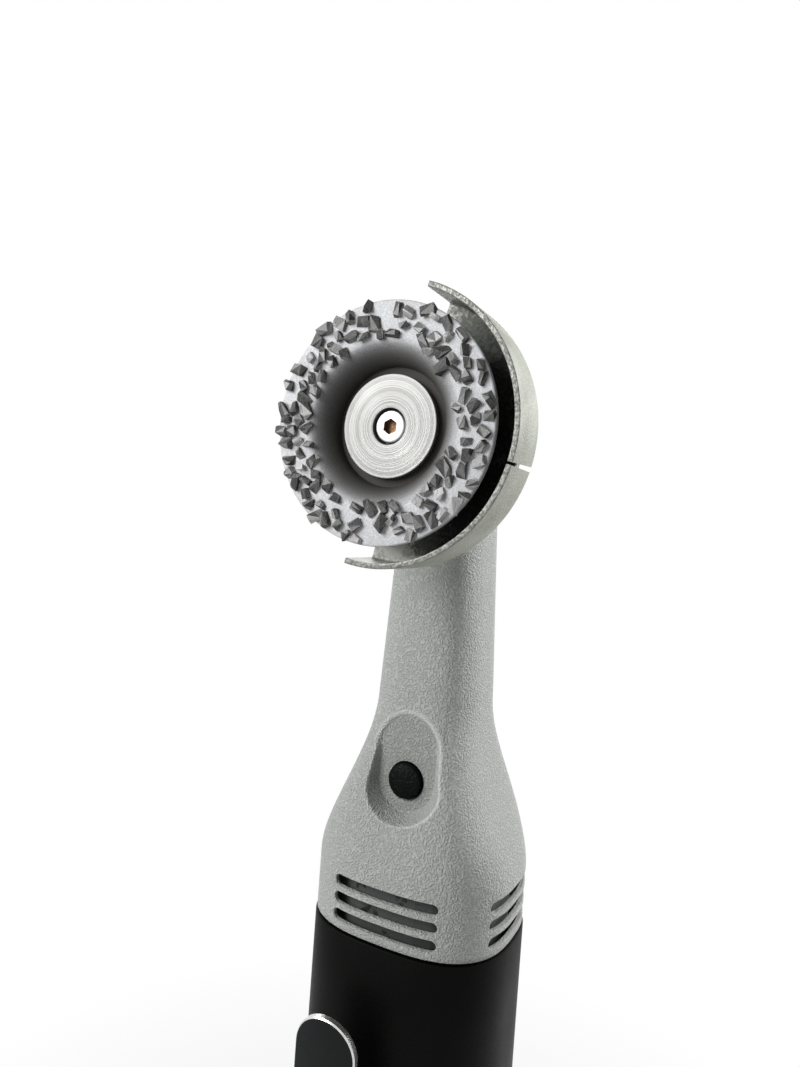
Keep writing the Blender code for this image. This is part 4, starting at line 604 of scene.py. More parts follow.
# reach and widths of the painted highlight on the pocket's lip and of the painted shade inside the pocket
pocketMarks = {
    "reachLow": 12 * mm, "reachHigh": pocket["archRise"] + pocket["archHeight"] + 3 * mm,
    "skinDepth": 0.5 * mm, "flatWithin": 0.05 * mm, "highlightOutside": 1.0 * mm, "highlightInside": 0.5 * mm,
    "shadeDepth": 0.6 * mm, "wallShade": 0.15, }
vents = {
    "rows": 3, "pitch": 4.0 * mm, "rise": 3.3 * mm, "halfWidth": 1.25 * mm, "spans": 24, "endSteps": 10,
    "frontReach": 12.0 * mm, "sideReach": 10.6 * mm, "lip": 0.35 * mm, "deepen": 0.4 * mm,
    "mouth": ((-1.0, 0.0), (-0.4, 0.25), (0.5, 1.15), (1.0 / 0.35, 1.3)),
}
tieBoss = {"x": 16.1 * mm, "y": 12.1 * mm, "radius": 3.6 * mm, "bore": 1.7 * mm, "high": 141.5 * mm,
           "cap": 2.0 * mm}
head = {"radius": 14.6 * mm, "front": 13.1 * mm, "back": 12.6 * mm, "edge": 3.0 * mm}
pocketMiddle = spindleHeight - pocket["drop"]
lockFrame = Matrix.Translation((0, 0, pocketMiddle)) @ facing


def between(low, high, share):
    return low + (high - low) * share


def smooth(t):
    return t * t * (3 - 2 * t)


def crown(half, crossHalf, offset, power):
    # how far out a crowned face still is, at an offset from its middle
    return half * np.maximum(1 - (np.abs(offset) / crossHalf) ** power, 0) ** (1 / power)


def slimmed(halfX, halfY, power, crisp):
    # narrower across, so that a sharper corner reaches no further out
    old, new = power / (power - 1), crisp / (crisp - 1)
    across, along = cos(neck["ridgeTurn"]), halfY * sin(neck["ridgeTurn"])
    reach = ((halfX * across) ** old + along ** old) ** (1 / old)
    return (reach ** new - along ** new) ** (1 / new) / across


def neckSection(z, inset=0.0):
    drop = spindleHeight - z
    if drop <= neck["flareDrop"]:
        half = between(neck["tipHalf"], neck["rootHalf"], drop / neck["flareDrop"])
        spread = max(0.0, neck["throatDrop"] - drop) / neck["throatRise"]
        half += neck["throatSpread"] * min(spread, 1.0) ** 2
        return half - inset, half + neck["backSet"] - inset, neck["neckPower"], neck["backSet"]
    share = smooth(min(1.0, (drop - neck["flareDrop"]) / neck["flareLength"]))
    power = between(neck["neckPower"], neck["bodyPower"], share)
    crisp = power + neck["ridgeGain"] * 4 * share * (1 - share)
    halfX, halfY = (between(neck["rootHalf"], half, share) for half in neck["bodyHalf"])
    back = neck["backSet"] * (1 - share * share)
    return slimmed(halfX, halfY, power, crisp) - inset, halfY + back - inset, crisp, back


def crownedOutline(halfX, halfY, power, count):
    # starts at the middle of the front and runs round by the right
    a = np.linspace(-pi / 2, 3 * pi / 2, count)
    x = halfX * np.sign(np.cos(a)) * np.abs(np.cos(a)) ** (2 / power)
    y = halfY * np.sign(np.sin(a)) * np.abs(np.sin(a)) ** (2 / power)
    return np.stack([x, y], axis=1)


def sectionOutline(halfX, halfY, power, bandHalf):
    # the front band runs left to right, the rest goes on round by the right, the back and the left
    path = crownedOutline(halfX, halfY, power, neck["pathSteps"] + 1)
    length = np.concatenate([[0], np.cumsum(np.linalg.norm(np.diff(path, axis=0), axis=1))])
    quarter = neck["pathSteps"] // 4 + 1
    bandEnd = np.interp(bandHalf, path[:quarter, 0], length[:quarter])
    bandX = np.linspace(-bandHalf, bandHalf, neck["bandColumns"])
    bandY = -crown(halfY, halfX, bandX, power)
    rest = np.linspace(bandEnd, length[-1] - bandEnd, neck["restColumns"] + 2)[1:-1]
    restX, restY = (np.interp(rest, length, path[:, k]) for k in (0, 1))
    return np.concatenate([bandX, restX]), np.concatenate([bandY, restY])


def softLow(a, b, k):
    h = np.maximum(k - np.abs(a - b), 0) / k
    return np.minimum(a, b) - h * h * k / 4


def pocketHeight(x, z):
    # a flat floor with an arched top; the walls lean out, most at the arch and least below
    up = z - pocketMiddle
    r, rise = pocket["radius"], pocket["archRise"]
    sideSlope = np.where(x > 0, pocket["rightSlope"], pocket["leftSlope"])
    if up < 0:
        away = np.hypot(x, up) - r
        lean = np.clip(-up / np.maximum(np.hypot(x, up), tiny), 0, 1) ** 2
        slope = between(sideSlope, pocket["lowSlope"], lean)
    elif up <= rise:
        away = np.abs(x) - r
        slope = between(sideSlope, pocket["archSlope"], (up / rise) ** 3)
    else:
        k = np.hypot(x / r, (up - rise) / pocket["archHeight"])
        away = (k - 1) * np.hypot(x, up - rise) / np.maximum(k, tiny)
        slope = pocket["archSlope"]
    wall = (away + np.sqrt(away ** 2 + pocket["footRound"] ** 2 / 4)) / 2
    return pocket["floor"] - pocket["tilt"] * up + wall * slope


def neckRing(z, inset, outside):
    halfX, halfY, power, back = neckSection(z, inset)
    x, y = sectionOutline(halfX, halfY, power, min(neck["bandHalf"], neck["bandShare"] * halfX))
    y += back
    n = neck["bandColumns"]
    floor = pocketHeight(x[:n], z)
    if outside:
        y[:n] = -softLow(-y[:n], floor, pocket["lipRound"])
    else:
        y[:n] = -np.minimum(-y[:n], floor - pocket["backing"])
    return [(a, b, z) for a, b in zip(x, y)]


def neckShell():
    seam, flareTop = neck["seam"], spindleHeight - neck["flareDrop"]
    throat = spindleHeight - neck["throatFrom"]
    pocketLow = pocketMiddle - pocket["radius"] - neck["pocketMargin"]
    pocketHigh = flareTop + neck["pocketMargin"]
    rows = [neckRing(seam + rise * mm, inset * mm, True) for rise, inset in neck["seamEdge"]]
    heights = list(np.linspace(seam + neck["sideRise"], pocketLow, neck["sideRows"]))
    for low, high, count in ((pocketLow, pocketHigh, "pocketRows"), (pocketHigh, throat, "shankRows"),
                             (throat, spindleHeight - neck["topDrop"], "throatRows")):
        heights += list(np.linspace(low, high, neck[count])[1:])
    rows += [neckRing(z, 0.0, True) for z in heights]
    inside = list(np.linspace(seam, flareTop - neck["flareLength"], neck["lowRows"]))
    inside += list(np.linspace(inside[-1], spindleHeight - neck["cavityDrop"], neck["cavityRows"])[1:])
    thin = seam + neck["thinRise"]
    walls = np.interp(inside, (thin, thin + neck["thinFade"]), (neck["ventWall"], neck["wall"]))
    inner = [neckRing(z, wall, False) for z, wall in zip(inside, walls)]
    return skin("neckShell", inner[::-1] + rows)


def slotOutline(reach, radius):
    # points along the straight sides let the slot bend over a crowned face
    spans, steps = vents["spans"], vents["endSteps"]
    straight = [(-reach + 2 * reach * k / spans) for k in range(1, spans)]
    outline = arc((reach, 0), radius, -pi / 2, pi / 2, steps) + [(x, radius) for x in straight[::-1]]
    return outline + arc((-reach, 0), radius, pi / 2, 3 * pi / 2, steps) + [(x, -radius) for x in straight]


def ventCutters():
    # each mouth follows the crowned face, so its lip is even along the slot
    cutters = []
    wall, lip, halfWidth, power = neck["ventWall"], vents["lip"], vents["halfWidth"], neck["bodyPower"]
    for side in range(4):
        half, crossHalf = neck["bodyHalf"][1 - side % 2], neck["bodyHalf"][side % 2]
        reach = vents["sideReach"] if side % 2 else vents["frontReach"]
        deep = crown(half - wall, crossHalf - wall, reach + halfWidth, power) - vents["deepen"]
        rings = [level(slotOutline(reach, halfWidth), deep)]
        for depth, grow in vents["mouth"]:
            ring = slotOutline(reach, halfWidth + grow * lip)
            face = crown(half, crossHalf, np.array([x for x, _ in ring]), power)
            rings.append([(x, y, f + depth * lip) for (x, y), f in zip(ring, face)])
        for row in range(vents["rows"]):
            rise = Matrix.Translation((0, 0, neck["seam"] + vents["rise"] + row * vents["pitch"]))
            cutters.append(skin("vent", rings, rise @ Matrix.Rotation(side * pi / 2, 4, "Z") @ facing))
    return cutters


def markPocket(mesh, m):
    # painted highlight along the lip of the pocket, and painted shade on its floor and, less, on its walls
    marks = {name: mesh.attributes.new(name, "FLOAT", "POINT") for name in ("grime", "worn")}
    for vertex in mesh.vertices:
        x, y, z = vertex.co
        up = z - pocketMiddle
        if y > 0 or abs(x) > neck["bandHalf"] or not -m["reachLow"] < up < m["reachHigh"]:
            continue
        halfX, halfY, power, back = neckSection(z)
        face = crown(halfY, halfX, x, power) - back
        floor = float(pocketHeight(np.array([x]), z)[0])
        if abs(-y - min(face, floor)) > m["skinDepth"]:
            continue  # the inside of the wall
        deep = face - floor
        flat = floor - pocket["floor"] + pocket["tilt"] * up < m["flatWithin"]
        band = m["highlightOutside"] if deep < 0 else m["highlightInside"]
        # painted shade grows with the depth of the pocket, in full on its flat floor
        shadeShare = min(max(deep / m["shadeDepth"], 0.0), 1.0)
        marks["worn"].data[vertex.index].value = max(0.0, 1 - abs(deep) / band)
        marks["grime"].data[vertex.index].value = shadeShare if flat else shadeShare * m["wallShade"]
    return mesh


def buildNeck():
    hole = edgedHole(pocket["buttonHole"], pocket["holeBack"], pocket["floor"], pocket["holeMouth"])
    cutters = ventCutters() + [revolve("hole", hole, 64, lockFrame)]
    shell = shaped(neckShell(), gathered("cutters", cutters))
    profile = [(0, head["front"]), (head["radius"], head["front"])]
    profile += arc((head["radius"] - head["edge"], head["edge"] - head["back"]), head["edge"], 0, -pi / 2, 8)
    headMesh = revolve("head", profile + [(0, -head["back"])], 96, headFrame)
    bore, radius, high = tieBoss["bore"], tieBoss["radius"], tieBoss["high"]
    line = [(bore, neck["seam"]), (radius, neck["seam"]), (radius, high), (0, high),
            (0, high - tieBoss["cap"]), (bore, high - tieBoss["cap"])]
    bosses = [revolve("boss", line, 32, Matrix.Translation((sx * tieBoss["x"], sy * tieBoss["y"], 0)))
              for sx, sy in fourCorners]
    for boss in bosses:
        paintFaces(boss, lambda centre, normal: 1)
    return markPocket(gathered("neckCasing", [shell, headMesh] + bosses), pocketMarks)


piece("neckCasing", buildNeck(), ["silverPaint", "baffleGrey"], "housing", ["neck_housing"],
      38)
print("neck casing made")


# gear plate and the boss that the guard turns on

gearPlate = {"back": 13.4, "front": 16.6, "radius": 14.6, "boss": 10.3, "bossFront": 26.0, "bore": 8.2,
             "lipBack": 24.3, "lipBore": 4.7, "edges": (0.5, 0.4, 0.5, 0.2, 0, 0, 0, 0.3),
             "screwCircle": 12.4, "screwSeat": 14.7, "screwHole": 1.7, "mouth": (-0.2, 0.1, 0.3, 2)}


def buildGearPlate(g):
    points = [(g["boss"], g["bossFront"]), (g["boss"], g["front"]), (g["radius"], g["front"]),
              (g["radius"], g["back"]), (g["bore"], g["back"]), (g["bore"], g["lipBack"]),
              (g["lipBore"], g["lipBack"]), (g["lipBore"], g["bossFront"])]
    plate = turned("plate", points, g["edges"], 96)
    hole = inMm(edgedHole(g["screwHole"], g["screwSeat"], g["front"], g["mouth"]))
    cutters = []
    for k in range(4):
        a = pi / 4 + k * pi / 2
        spot = Matrix.Translation((g["screwCircle"] * cos(a) * mm, g["screwCircle"] * sin(a) * mm, 0))
        cutters.append(revolve("hole", hole, 32, spot))
    plate = shaped(plate, gathered("holes", cutters))
    plate.transform(headFrame)
    return plate


piece("gearPlate", buildGearPlate(gearPlate), "silverPaint", "housing", ["gear_plate"])


# geometry trees, each with named inputs and a finish

def startTree(name, inputs):
    tree = bpy.data.node_groups.new(name, "GeometryNodeTree")
    tree.interface.new_socket("Geometry", in_out="INPUT", socket_type="NodeSocketGeometry")
    keys = {}
    for label, (kind, value) in {**inputs, "Finish": ("Material", None)}.items():
        socket = tree.interface.new_socket(label, in_out="INPUT", socket_type="NodeSocket" + kind)
        if value is not None:
            socket.default_value = value
        keys[label] = socket.identifier
    tree.interface.new_socket("Geometry", in_out="OUTPUT", socket_type="NodeSocketGeometry")
    return tree, keys, addNode(tree, "NodeGroupInput").outputs


def endTree(tree, given, geometry):
    real = addNode(tree, "GeometryNodeRealizeInstances", {"Geometry": geometry}).outputs["Geometry"]
    paint = addNode(tree, "GeometryNodeSetMaterial", {"Geometry": real, "Material": given["Finish"]})
    addNode(tree, "NodeGroupOutput", {"Geometry": paint.outputs["Geometry"]})


def runTree(name, tree, keys, values, base=None):
    shape = hold(base or bpy.data.meshes.new(name))
    nodes = shape.modifiers.new("nodes", "NODES")
    nodes.node_group = tree
    for label, value in values.items():
        nodes[keys[label]] = value
    return settled(shape)


# socket-head screws, set out at the corners of a rectangle

screws = {
    "plate": {"headRadius": 1.4, "headHeight": 1.3, "shank": 0.9, "length": 7.5, "across": 1.1,
              "seat": 15.0, "width": gearPlate["screwCircle"] * sqrt(2),
              "depth": gearPlate["screwCircle"] * sqrt(2)},
    "tie": {"headRadius": 2.6, "headHeight": 2.4, "shank": 1.4, "length": 135.9, "across": 2.5,
            "seat": 3.2, "width": 32.2, "depth": 24.2},
    "collar": {"headRadius": 2.2, "headHeight": 1.8, "shank": 1.25, "length": 7.8, "across": 2.0},
}
screwShares = {"topEdge": 0.18, "seatEdge": 0.1, "tipEdge": 0.2, "socketFloor": 0.4, "socketTop": 1.2}


def hexSocket(across, low, high, start=0.0):
    outline = arc((0, 0), across / sqrt(3), start, start + 5 * pi / 3, 5)
    return skin("socket", [inMm(level(outline, z)) for z in (low, high)])


def socketScrew(name, s):
    r, h, shank = s["headRadius"], s["headHeight"], s["shank"]
    points = [(0, h), (r, h), (r, 0), (shank, 0), (shank, -s["length"]), (0, -s["length"])]
    edges = [0, screwShares["topEdge"] * r, screwShares["seatEdge"] * r, 0, screwShares["tipEdge"] * shank, 0]
    socket = hexSocket(s["across"], h * screwShares["socketFloor"], h * screwShares["socketTop"])
    return shaped(turned(name, points, edges, 36), socket)


def screwSetTree():
    tree, keys, given = startTree("screwSet", {
        "Screw": ("Object", None), "Width": ("Float", 0.02), "Depth": ("Float", 0.02)})
    grid = addNode(tree, "GeometryNodeMeshGrid", {
        "Vertices X": 2, "Vertices Y": 2, "Size X": given["Width"], "Size Y": given["Depth"]})
    source = addNode(tree, "GeometryNodeObjectInfo", {"Object": given["Screw"]})
    turnBy = addNode(tree, "FunctionNodeRandomValue", {"Min": (0, 0, 0), "Max": (0, 0, 1.0)},
                     data_type="FLOAT_VECTOR")
    spread = addNode(tree, "GeometryNodeInstanceOnPoints", {
        "Points": grid.outputs["Mesh"], "Instance": source.outputs["Geometry"],
        "Rotation": turnBy.outputs["Value"]})
    endTree(tree, given, spread.outputs["Instances"])
    return tree, keys


screwTree, screwKeys = screwSetTree()


def screwSet(name, s, place):
    single = hold(socketScrew(name, s))
    mesh = runTree(name, screwTree, screwKeys, {"Screw": single, "Width": s["width"] * mm,
                                                "Depth": s["depth"] * mm, "Finish": looks["oiledSteel"]})
    bpy.data.objects.remove(single)
    mesh.transform(place)
    return mesh


plateSeat = headFrame @ Matrix.Translation((0, 0, screws["plate"]["seat"] * mm))
piece("plateScrews", screwSet("plateScrews", screws["plate"], plateSeat), "oiledSteel", "housing",
      [f"gear_plate_screw_{k}" for k in range(1, 5)])
tieSeat = Matrix.Translation((0, 0, screws["tie"]["seat"] * mm)) @ Matrix.Rotation(pi, 4, "X")
piece("tieScrews", screwSet("tieScrews", screws["tie"], tieSeat), "oiledSteel", "housing",
      [f"tie_screw_{k}" for k in range(1, 5)])
print("gear plate and screws made")


# grinding disc: pressed dish, rolled into a flat ring that carries the chips

disc = {"radius": 25.4, "sheet": 1.4, "back": 30.8, "rim": 37.93, "mouth": 17.2, "floor": 12.7, "bore": 8.0,
        "edge": 0.45, "backEdge": (0.3, 0.2), "steps": 18, "roundShare": 0.65, "roundPower": 2.2,
        "chipTop": 1.65}


def dishLine(d, sink):
    line = []
    for i in range(d["steps"] + 1):
        t = i / d["steps"]
        bowl = sqrt(max(0.0, 1 - (1 - t) ** d["roundPower"]))
        height = between(d["back"] + d["sheet"], d["rim"], between(smooth(t), bowl, d["roundShare"]))
        line.append((between(d["floor"], d["mouth"], t), height - sink))
    return line


def buildDisc(d):
    ringBack = d["rim"] - d["sheet"]
    profile = [(d["bore"], d["back"] + d["sheet"])] + dishLine(d, 0)
    profile += arc((d["radius"] - d["edge"], d["rim"] - d["edge"]), d["edge"], pi / 2, 0, 4)
    profile += [(d["radius"], ringBack + d["backEdge"][1]), (d["radius"] - d["backEdge"][0], ringBack)]
    profile += dishLine(d, d["sheet"])[::-1] + [(d["bore"], d["back"])]
    return revolve("disc", inMm(profile), 128, headFrame)


piece("discDish", buildDisc(disc), "platedDisc", "spindle", ["grinding_disc"], sharp=40)


# chips: a few broken shapes, scattered over the ring and realised

chips = {"shapes": 14, "seed": 21, "spacing": 2.55, "inner": 17.3, "outer": 24.7, "sink": 0.35,
         "reachLeft": 25.6, "length": (2.5, 3.9), "width": (1.6, 2.5), "height": (1.5, 2.1),
         "scale": (0.80, 1.18), "patchScale": 190.0, "patchDetail": 1, "bareBelow": 0.34, "ringSides": 64,
         "density": 2e6, "tilt": 0.5, "corner": (0.55, 1.0), "breakShare": 0.4, "breakTo": (0.1, 0.6),
         "sizeSeed": 5, "toneSeed": 11, "facetSeed": 3}


def brokenShape(name, rng, c):
    # a rough block with uneven corners, some of them broken off
    work = bmesh.new()
    size = [rng.uniform(*c[key]) * mm / 2 for key in ("length", "width", "height")]
    for sx, sy in fourCorners:
        for sz in (-1, 1):
            sides = zip((sx, sy, sz), size)
            corner = Vector([side * half * rng.uniform(*c["corner"]) for side, half in sides])
            if rng.random() < c["breakShare"]:
                for axis in rng.sample((0, 1, 2), 2):
                    spot = corner.copy()
                    spot[axis] *= rng.uniform(*c["breakTo"])
                    work.verts.new(spot)
            else:
                work.verts.new(corner)
    bmesh.ops.convex_hull(work, input=work.verts)
    loose = [v for v in work.verts if not v.link_faces]
    bmesh.ops.delete(work, geom=loose, context="VERTS")
    bmesh.ops.recalc_face_normals(work, faces=work.faces)
    mesh = bpy.data.meshes.new(name)
    work.to_mesh(mesh)
    work.free()
    return mesh


def randomTone(tree, geometry, name, domain, inputs):
    tone = addNode(tree, "FunctionNodeRandomValue", inputs, data_type="FLOAT").outputs[1]
    return addNode(tree, "GeometryNodeStoreNamedAttribute",
                   {"Geometry": geometry, "Name": name, "Value": tone},
                   data_type="FLOAT", domain=domain).outputs["Geometry"]


def chipTree(c, shapes):
    tree, keys, given = startTree("chipScatter", {
        "Spacing": ("Float", 0.002), "Patch Scale": ("Float", 200.0), "Bare Below": ("Float", 0.4),
        "Smallest": ("Float", 0.7), "Largest": ("Float", 1.2), "Seed": ("Int", 1)})
    scatter = addNode(tree, "GeometryNodeDistributePointsOnFaces", distribute_method="POISSON", inputs={
        "Mesh": given["Geometry"], "Distance Min": given["Spacing"], "Density Max": c["density"],
        "Seed": given["Seed"]})
    position = addNode(tree, "GeometryNodeInputPosition").outputs["Position"]
    bare = addNode(tree, "FunctionNodeCompare", data_type="FLOAT", operation="LESS_THAN", inputs={
        0: noise(tree, position, given["Patch Scale"], c["patchDetail"]), 1: given["Bare Below"]})
    thin = addNode(tree, "GeometryNodeDeleteGeometry", domain="POINT", inputs={
        "Geometry": scatter.outputs["Points"], "Selection": bare.outputs["Result"]})
    source = addNode(tree, "GeometryNodeCollectionInfo", {
        "Collection": shapes, "Separate Children": True, "Reset Children": True})
    turnBy = addNode(tree, "FunctionNodeRandomValue", data_type="FLOAT_VECTOR", inputs={
        "Min": (-c["tilt"], -c["tilt"], 0), "Max": (c["tilt"], c["tilt"], 2 * pi), "Seed": given["Seed"]})
    sizeBy = addNode(tree, "FunctionNodeRandomValue", data_type="FLOAT", inputs={
        2: given["Smallest"], 3: given["Largest"], "Seed": c["sizeSeed"]})
    spread = addNode(tree, "GeometryNodeInstanceOnPoints", {
        "Points": thin.outputs["Geometry"], "Instance": source.outputs["Instances"], "Pick Instance": True,
        "Rotation": turnBy.outputs["Value"], "Scale": sizeBy.outputs[1]})
    toned = randomTone(tree, spread.outputs["Instances"], "chipTone", "INSTANCE", {"Seed": c["toneSeed"]})
    real = addNode(tree, "GeometryNodeRealizeInstances", {"Geometry": toned}).outputs["Geometry"]
    index = addNode(tree, "GeometryNodeInputIndex").outputs["Index"]
    # a random painted glint for every face
    endTree(tree, given, randomTone(tree, real, "facetTone", "FACE", {"Seed": c["facetSeed"], "ID": index}))
    return tree, keys


def settleChips(mesh, c):
    # keeps each chip under the height of the solid's chips and inside its left edge
    highest, leftmost = (disc["rim"] + disc["chipTop"]) * mm, -c["reachLeft"] * mm
    work = bmesh.new()
    work.from_mesh(mesh)
    left = set(work.verts)
    while left:
        group, queue = set(), [left.pop()]
        while queue:
            vert = queue.pop()
            group.add(vert)
            for edge in vert.link_edges:
                other = edge.other_vert(vert)
                if other in left:
                    left.discard(other)
                    queue.append(other)
        down = max(0.0, max(v.co.z for v in group) - highest)
        across = max(0.0, leftmost - min(v.co.x for v in group))
        for v in group:
            v.co.z -= down
            v.co.x += across
    work.to_mesh(mesh)
    work.free()


def buildChips(c):
    rng = random.Random(c["seed"])
    shapes = bpy.data.collections.new("brokenShapes")
    for k in range(c["shapes"]):
        shapes.objects.link(bpy.data.objects.new(f"broken{k}", brokenShape(f"broken{k}", rng, c)))
    tree, keys = chipTree(c, shapes)
    flat = bpy.data.meshes.new("chipRing")
    verts, faces = [], []
    for i in range(c["ringSides"]):
        a = 2 * pi * i / c["ringSides"]
        verts += [(r * cos(a), r * sin(a), disc["rim"] + c["sink"]) for r in (c["inner"], c["outer"])]
        j = (i + 1) % c["ringSides"]
        faces.append((2 * i, 2 * i + 1, 2 * j + 1, 2 * j))
    flat.from_pydata(inMm(verts), [], faces)
    mesh = runTree("chips", tree, keys, {
        "Spacing": c["spacing"] * mm, "Patch Scale": c["patchScale"], "Bare Below": c["bareBelow"],
        "Smallest": c["scale"][0], "Largest": c["scale"][1], "Seed": c["seed"],
        "Finish": looks["brokenCarbide"]}, flat)
    for shape in list(shapes.objects):
        bpy.data.objects.remove(shape)
    bpy.data.collections.remove(shapes)
    settleChips(mesh, c)
    mesh.transform(headFrame)
    return mesh


chipMesh = buildChips(chips)
piece("discChips", chipMesh, "brokenCarbide", "spindle", sharp=0)
print("disc made, chip corners:", len(chipMesh.vertices))


# clamp flange, its screw and the inner flange

clamp = {"radius": 11.07, "front": 33.86, "back": 32.5, "hub": 7.7, "hubBack": 29.0, "hole": 3.9,
         "seat": 30.56, "bore": 2.3, "edges": (0.35, 0.25, 0.1, 0.3, 0.2, 0, 0, 0.15)}
clampScrew = {"head": 3.5, "front": 33.3, "back": 30.86, "shank": 2.0, "shankBack": 20.9,
              "edges": (0, 0.45, 0.2, 0, 0.3, 0), "socket": 3.0, "depth": 1.5, "turn": pi / 7,
              "brownWithin": 1.75, "brownFloor": 0.1, "brownTop": 0.05}
innerFlange = {"radius": 10.5, "front": 30.5, "back": 26.5, "bore": 4.0, "step": 28.7, "stepBore": 8.0,
               "edges": (0.3, 0.5, 0.2, 0, 0, 0.2)}


def buildClampFlange(c):
    points = [(c["radius"], c["front"]), (c["radius"], c["back"]), (c["hub"], c["back"]),
              (c["hub"], c["hubBack"]), (c["bore"], c["hubBack"]), (c["bore"], c["seat"]),
              (c["hole"], c["seat"]), (c["hole"], c["front"])]
    return turned("clampFlange", points, c["edges"], 128, headFrame)


def buildClampScrew(c):
    points = [(0, c["front"]), (c["head"], c["front"]), (c["head"], c["back"]), (c["shank"], c["back"]),
              (c["shank"], c["shankBack"]), (0, c["shankBack"])]
    body = turned("clampScrew", points, c["edges"], 72, None, 4)
    floor = c["front"] - c["depth"]
    body = shaped(body, hexSocket(c["socket"], floor, c["front"] + 1, c["turn"]))

    def socketFace(centre, normal):
        inside = Vector((centre.x, centre.y)).length < c["brownWithin"] * mm
        low, high = (floor - c["brownFloor"]) * mm, (c["front"] - c["brownTop"]) * mm
        return 1 if inside and low < centre.z < high else 0

    paintFaces(body, socketFace)
    body.transform(headFrame)
    return body


def buildInnerFlange(f):
    points = [(f["radius"], f["front"]), (f["radius"], f["back"]), (f["bore"], f["back"]),
              (f["bore"], f["step"]), (f["stepBore"], f["step"]), (f["stepBore"], f["front"])]
    return turned("innerFlange", points, f["edges"], 96, headFrame)


piece("clampFlange", buildClampFlange(clamp), "turnedAluminium", "spindle",
      ["clamp_flange"])
piece("clampScrew", buildClampScrew(clampScrew), ["brightSteel", "brownSocket"], "spindle",
      ["clamp_screw"])
piece("innerFlange", buildInnerFlange(innerFlange), "turnedAluminium", "spindle",
      ["inner_flange"])
print("clamp made")


# guard: rim and back plate pressed from one sheet, open to the left

guard = {"radius": 29.98, "sheet": 1.2, "back": 25.06, "front": 37.56, "bore": 10.6, "halfSpan": 87.35,
         "turn": -14.75, "slit": 1.15, "slitFront": 0.5, "slitEnd": 26.6, "slitPast": 2, "edge": 0.28,
         "bend": 1.6, "insideBend": 0.5, "boreEdge": 0.2, "steps": 110, "darkTo": 46, "paleTop": 96,
         "paleLow": 72, "endFacing": 0.8, "rimFacing": 0.45, "rimWithin": 0.1, "insideFacing": 0.5}
guardFrame = headFrame @ Matrix.Rotation(radians(guard["turn"]), 4, "Z")


def buildGuard(g):
    inner, plateFront = g["radius"] - g["sheet"], g["back"] + g["sheet"]
    points = [(g["bore"], g["back"]), (g["radius"], g["back"]), (g["radius"], g["front"]),
              (inner, g["front"]), (inner, plateFront), (g["bore"], plateFront)]
    edges = [g["boreEdge"], g["bend"], g["edge"], g["edge"], g["insideBend"], g["boreEdge"]]
    profile = softened(points, edges, 5)
    half = radians(g["halfSpan"])
    rings = []
    for k in range(g["steps"] + 1):
        a = between(-half, half, k / g["steps"])
        rings.append(inMm([(r * cos(a), r * sin(a), h) for r, h in profile]))
    past = g["slitPast"]
    ends = (g["slitEnd"], g["radius"] + past)
    slit = [inMm([(x, y * wide / 2, h) for x, y in zip(ends + ends[::-1], (-1, -1, 1, 1))])
            for wide, h in ((g["slit"], g["back"] - past), (g["slitFront"], g["front"] + past))]
    body = shaped(skin("guard", rings), skin("slit", slit))

    def sheetFace(centre, normal):
        # 0 outside, 1 inside, 2 cut edge
        r = Vector((centre.x, centre.y)).length / mm
        radial = Vector((centre.x, centre.y, 0)).normalized()
        around = abs(normal.dot(Vector((-radial.y, radial.x, 0))))
        if around > g["endFacing"] or (normal.z > g["rimFacing"] and r > inner - g["rimWithin"]):
            return 2
        inward = max(-normal.dot(radial), normal.z if r < inner else 0)
        return 1 if inward > g["insideFacing"] else 0

    paintFaces(body, sheetFace)
    # painted shade: the unshaded share grows from the guard's middle towards its ends, sooner at the low end
    bare = body.attributes.new("bareShare", "FLOAT", "POINT")
    for vert, item in zip(body.vertices, bare.data):
        turnedBy = degrees(atan2(vert.co.y, vert.co.x))
        paleFrom = g["paleTop"] if turnedBy > 0 else g["paleLow"]
        item.value = min(1.0, max(0.0, (abs(turnedBy) - g["darkTo"]) / (paleFrom - g["darkTo"])))
    body.transform(guardFrame)
    return body


piece("guardSheet", buildGuard(guard), ["zincOutside", "zincInside", "zincCutEdge"], "guard",
      ["guard"], 40)

collar = {"bore": 10.6, "radius": 12.6, "back": 17.56, "front": 24.76, "edge": 0.3, "earHalf": 3.6,
          "earReach": 19.2, "earRoot": 11.6, "earEdge": 0.5, "split": 1.6, "screwSpot": 15.9,
          "screwHole": 1.55, "screwStand": 0.3, "splitFrom": 30, "splitSpan": (10, 30), "holeHalf": 9}


def buildCollar(c):
    points = [(c["radius"], c["front"]), (c["radius"], c["back"]), (c["bore"], c["back"]),
              (c["bore"], c["front"])]
    body = turned("collar", points, c["edge"], 96)
    ears = box("ears", (-c["earReach"], -c["earHalf"], c["back"] + c["edge"]),
               (-c["earRoot"], c["earHalf"], c["front"] - c["edge"]), c["earEdge"])
    body = shaped(body, ears, "UNION")
    (low, high), half = c["splitSpan"], c["split"] / 2
    body = shaped(body, box("split", (-c["splitFrom"], -half, low), (0, half, high)))
    across = Matrix.Translation((-c["screwSpot"] * mm, 0, (c["back"] + c["front"]) / 2 * mm))
    across = across @ Matrix.Rotation(-pi / 2, 4, "X")
    body = shaped(body, drill(c["screwHole"], -c["holeHalf"], c["holeHalf"], 32, across))
    screw = socketScrew("collarScrew", screws["collar"])
    screw.transform(across @ Matrix.Translation((0, 0, (c["earHalf"] + c["screwStand"]) * mm)))
    body.transform(guardFrame)
    screw.transform(guardFrame)
    return body, screw


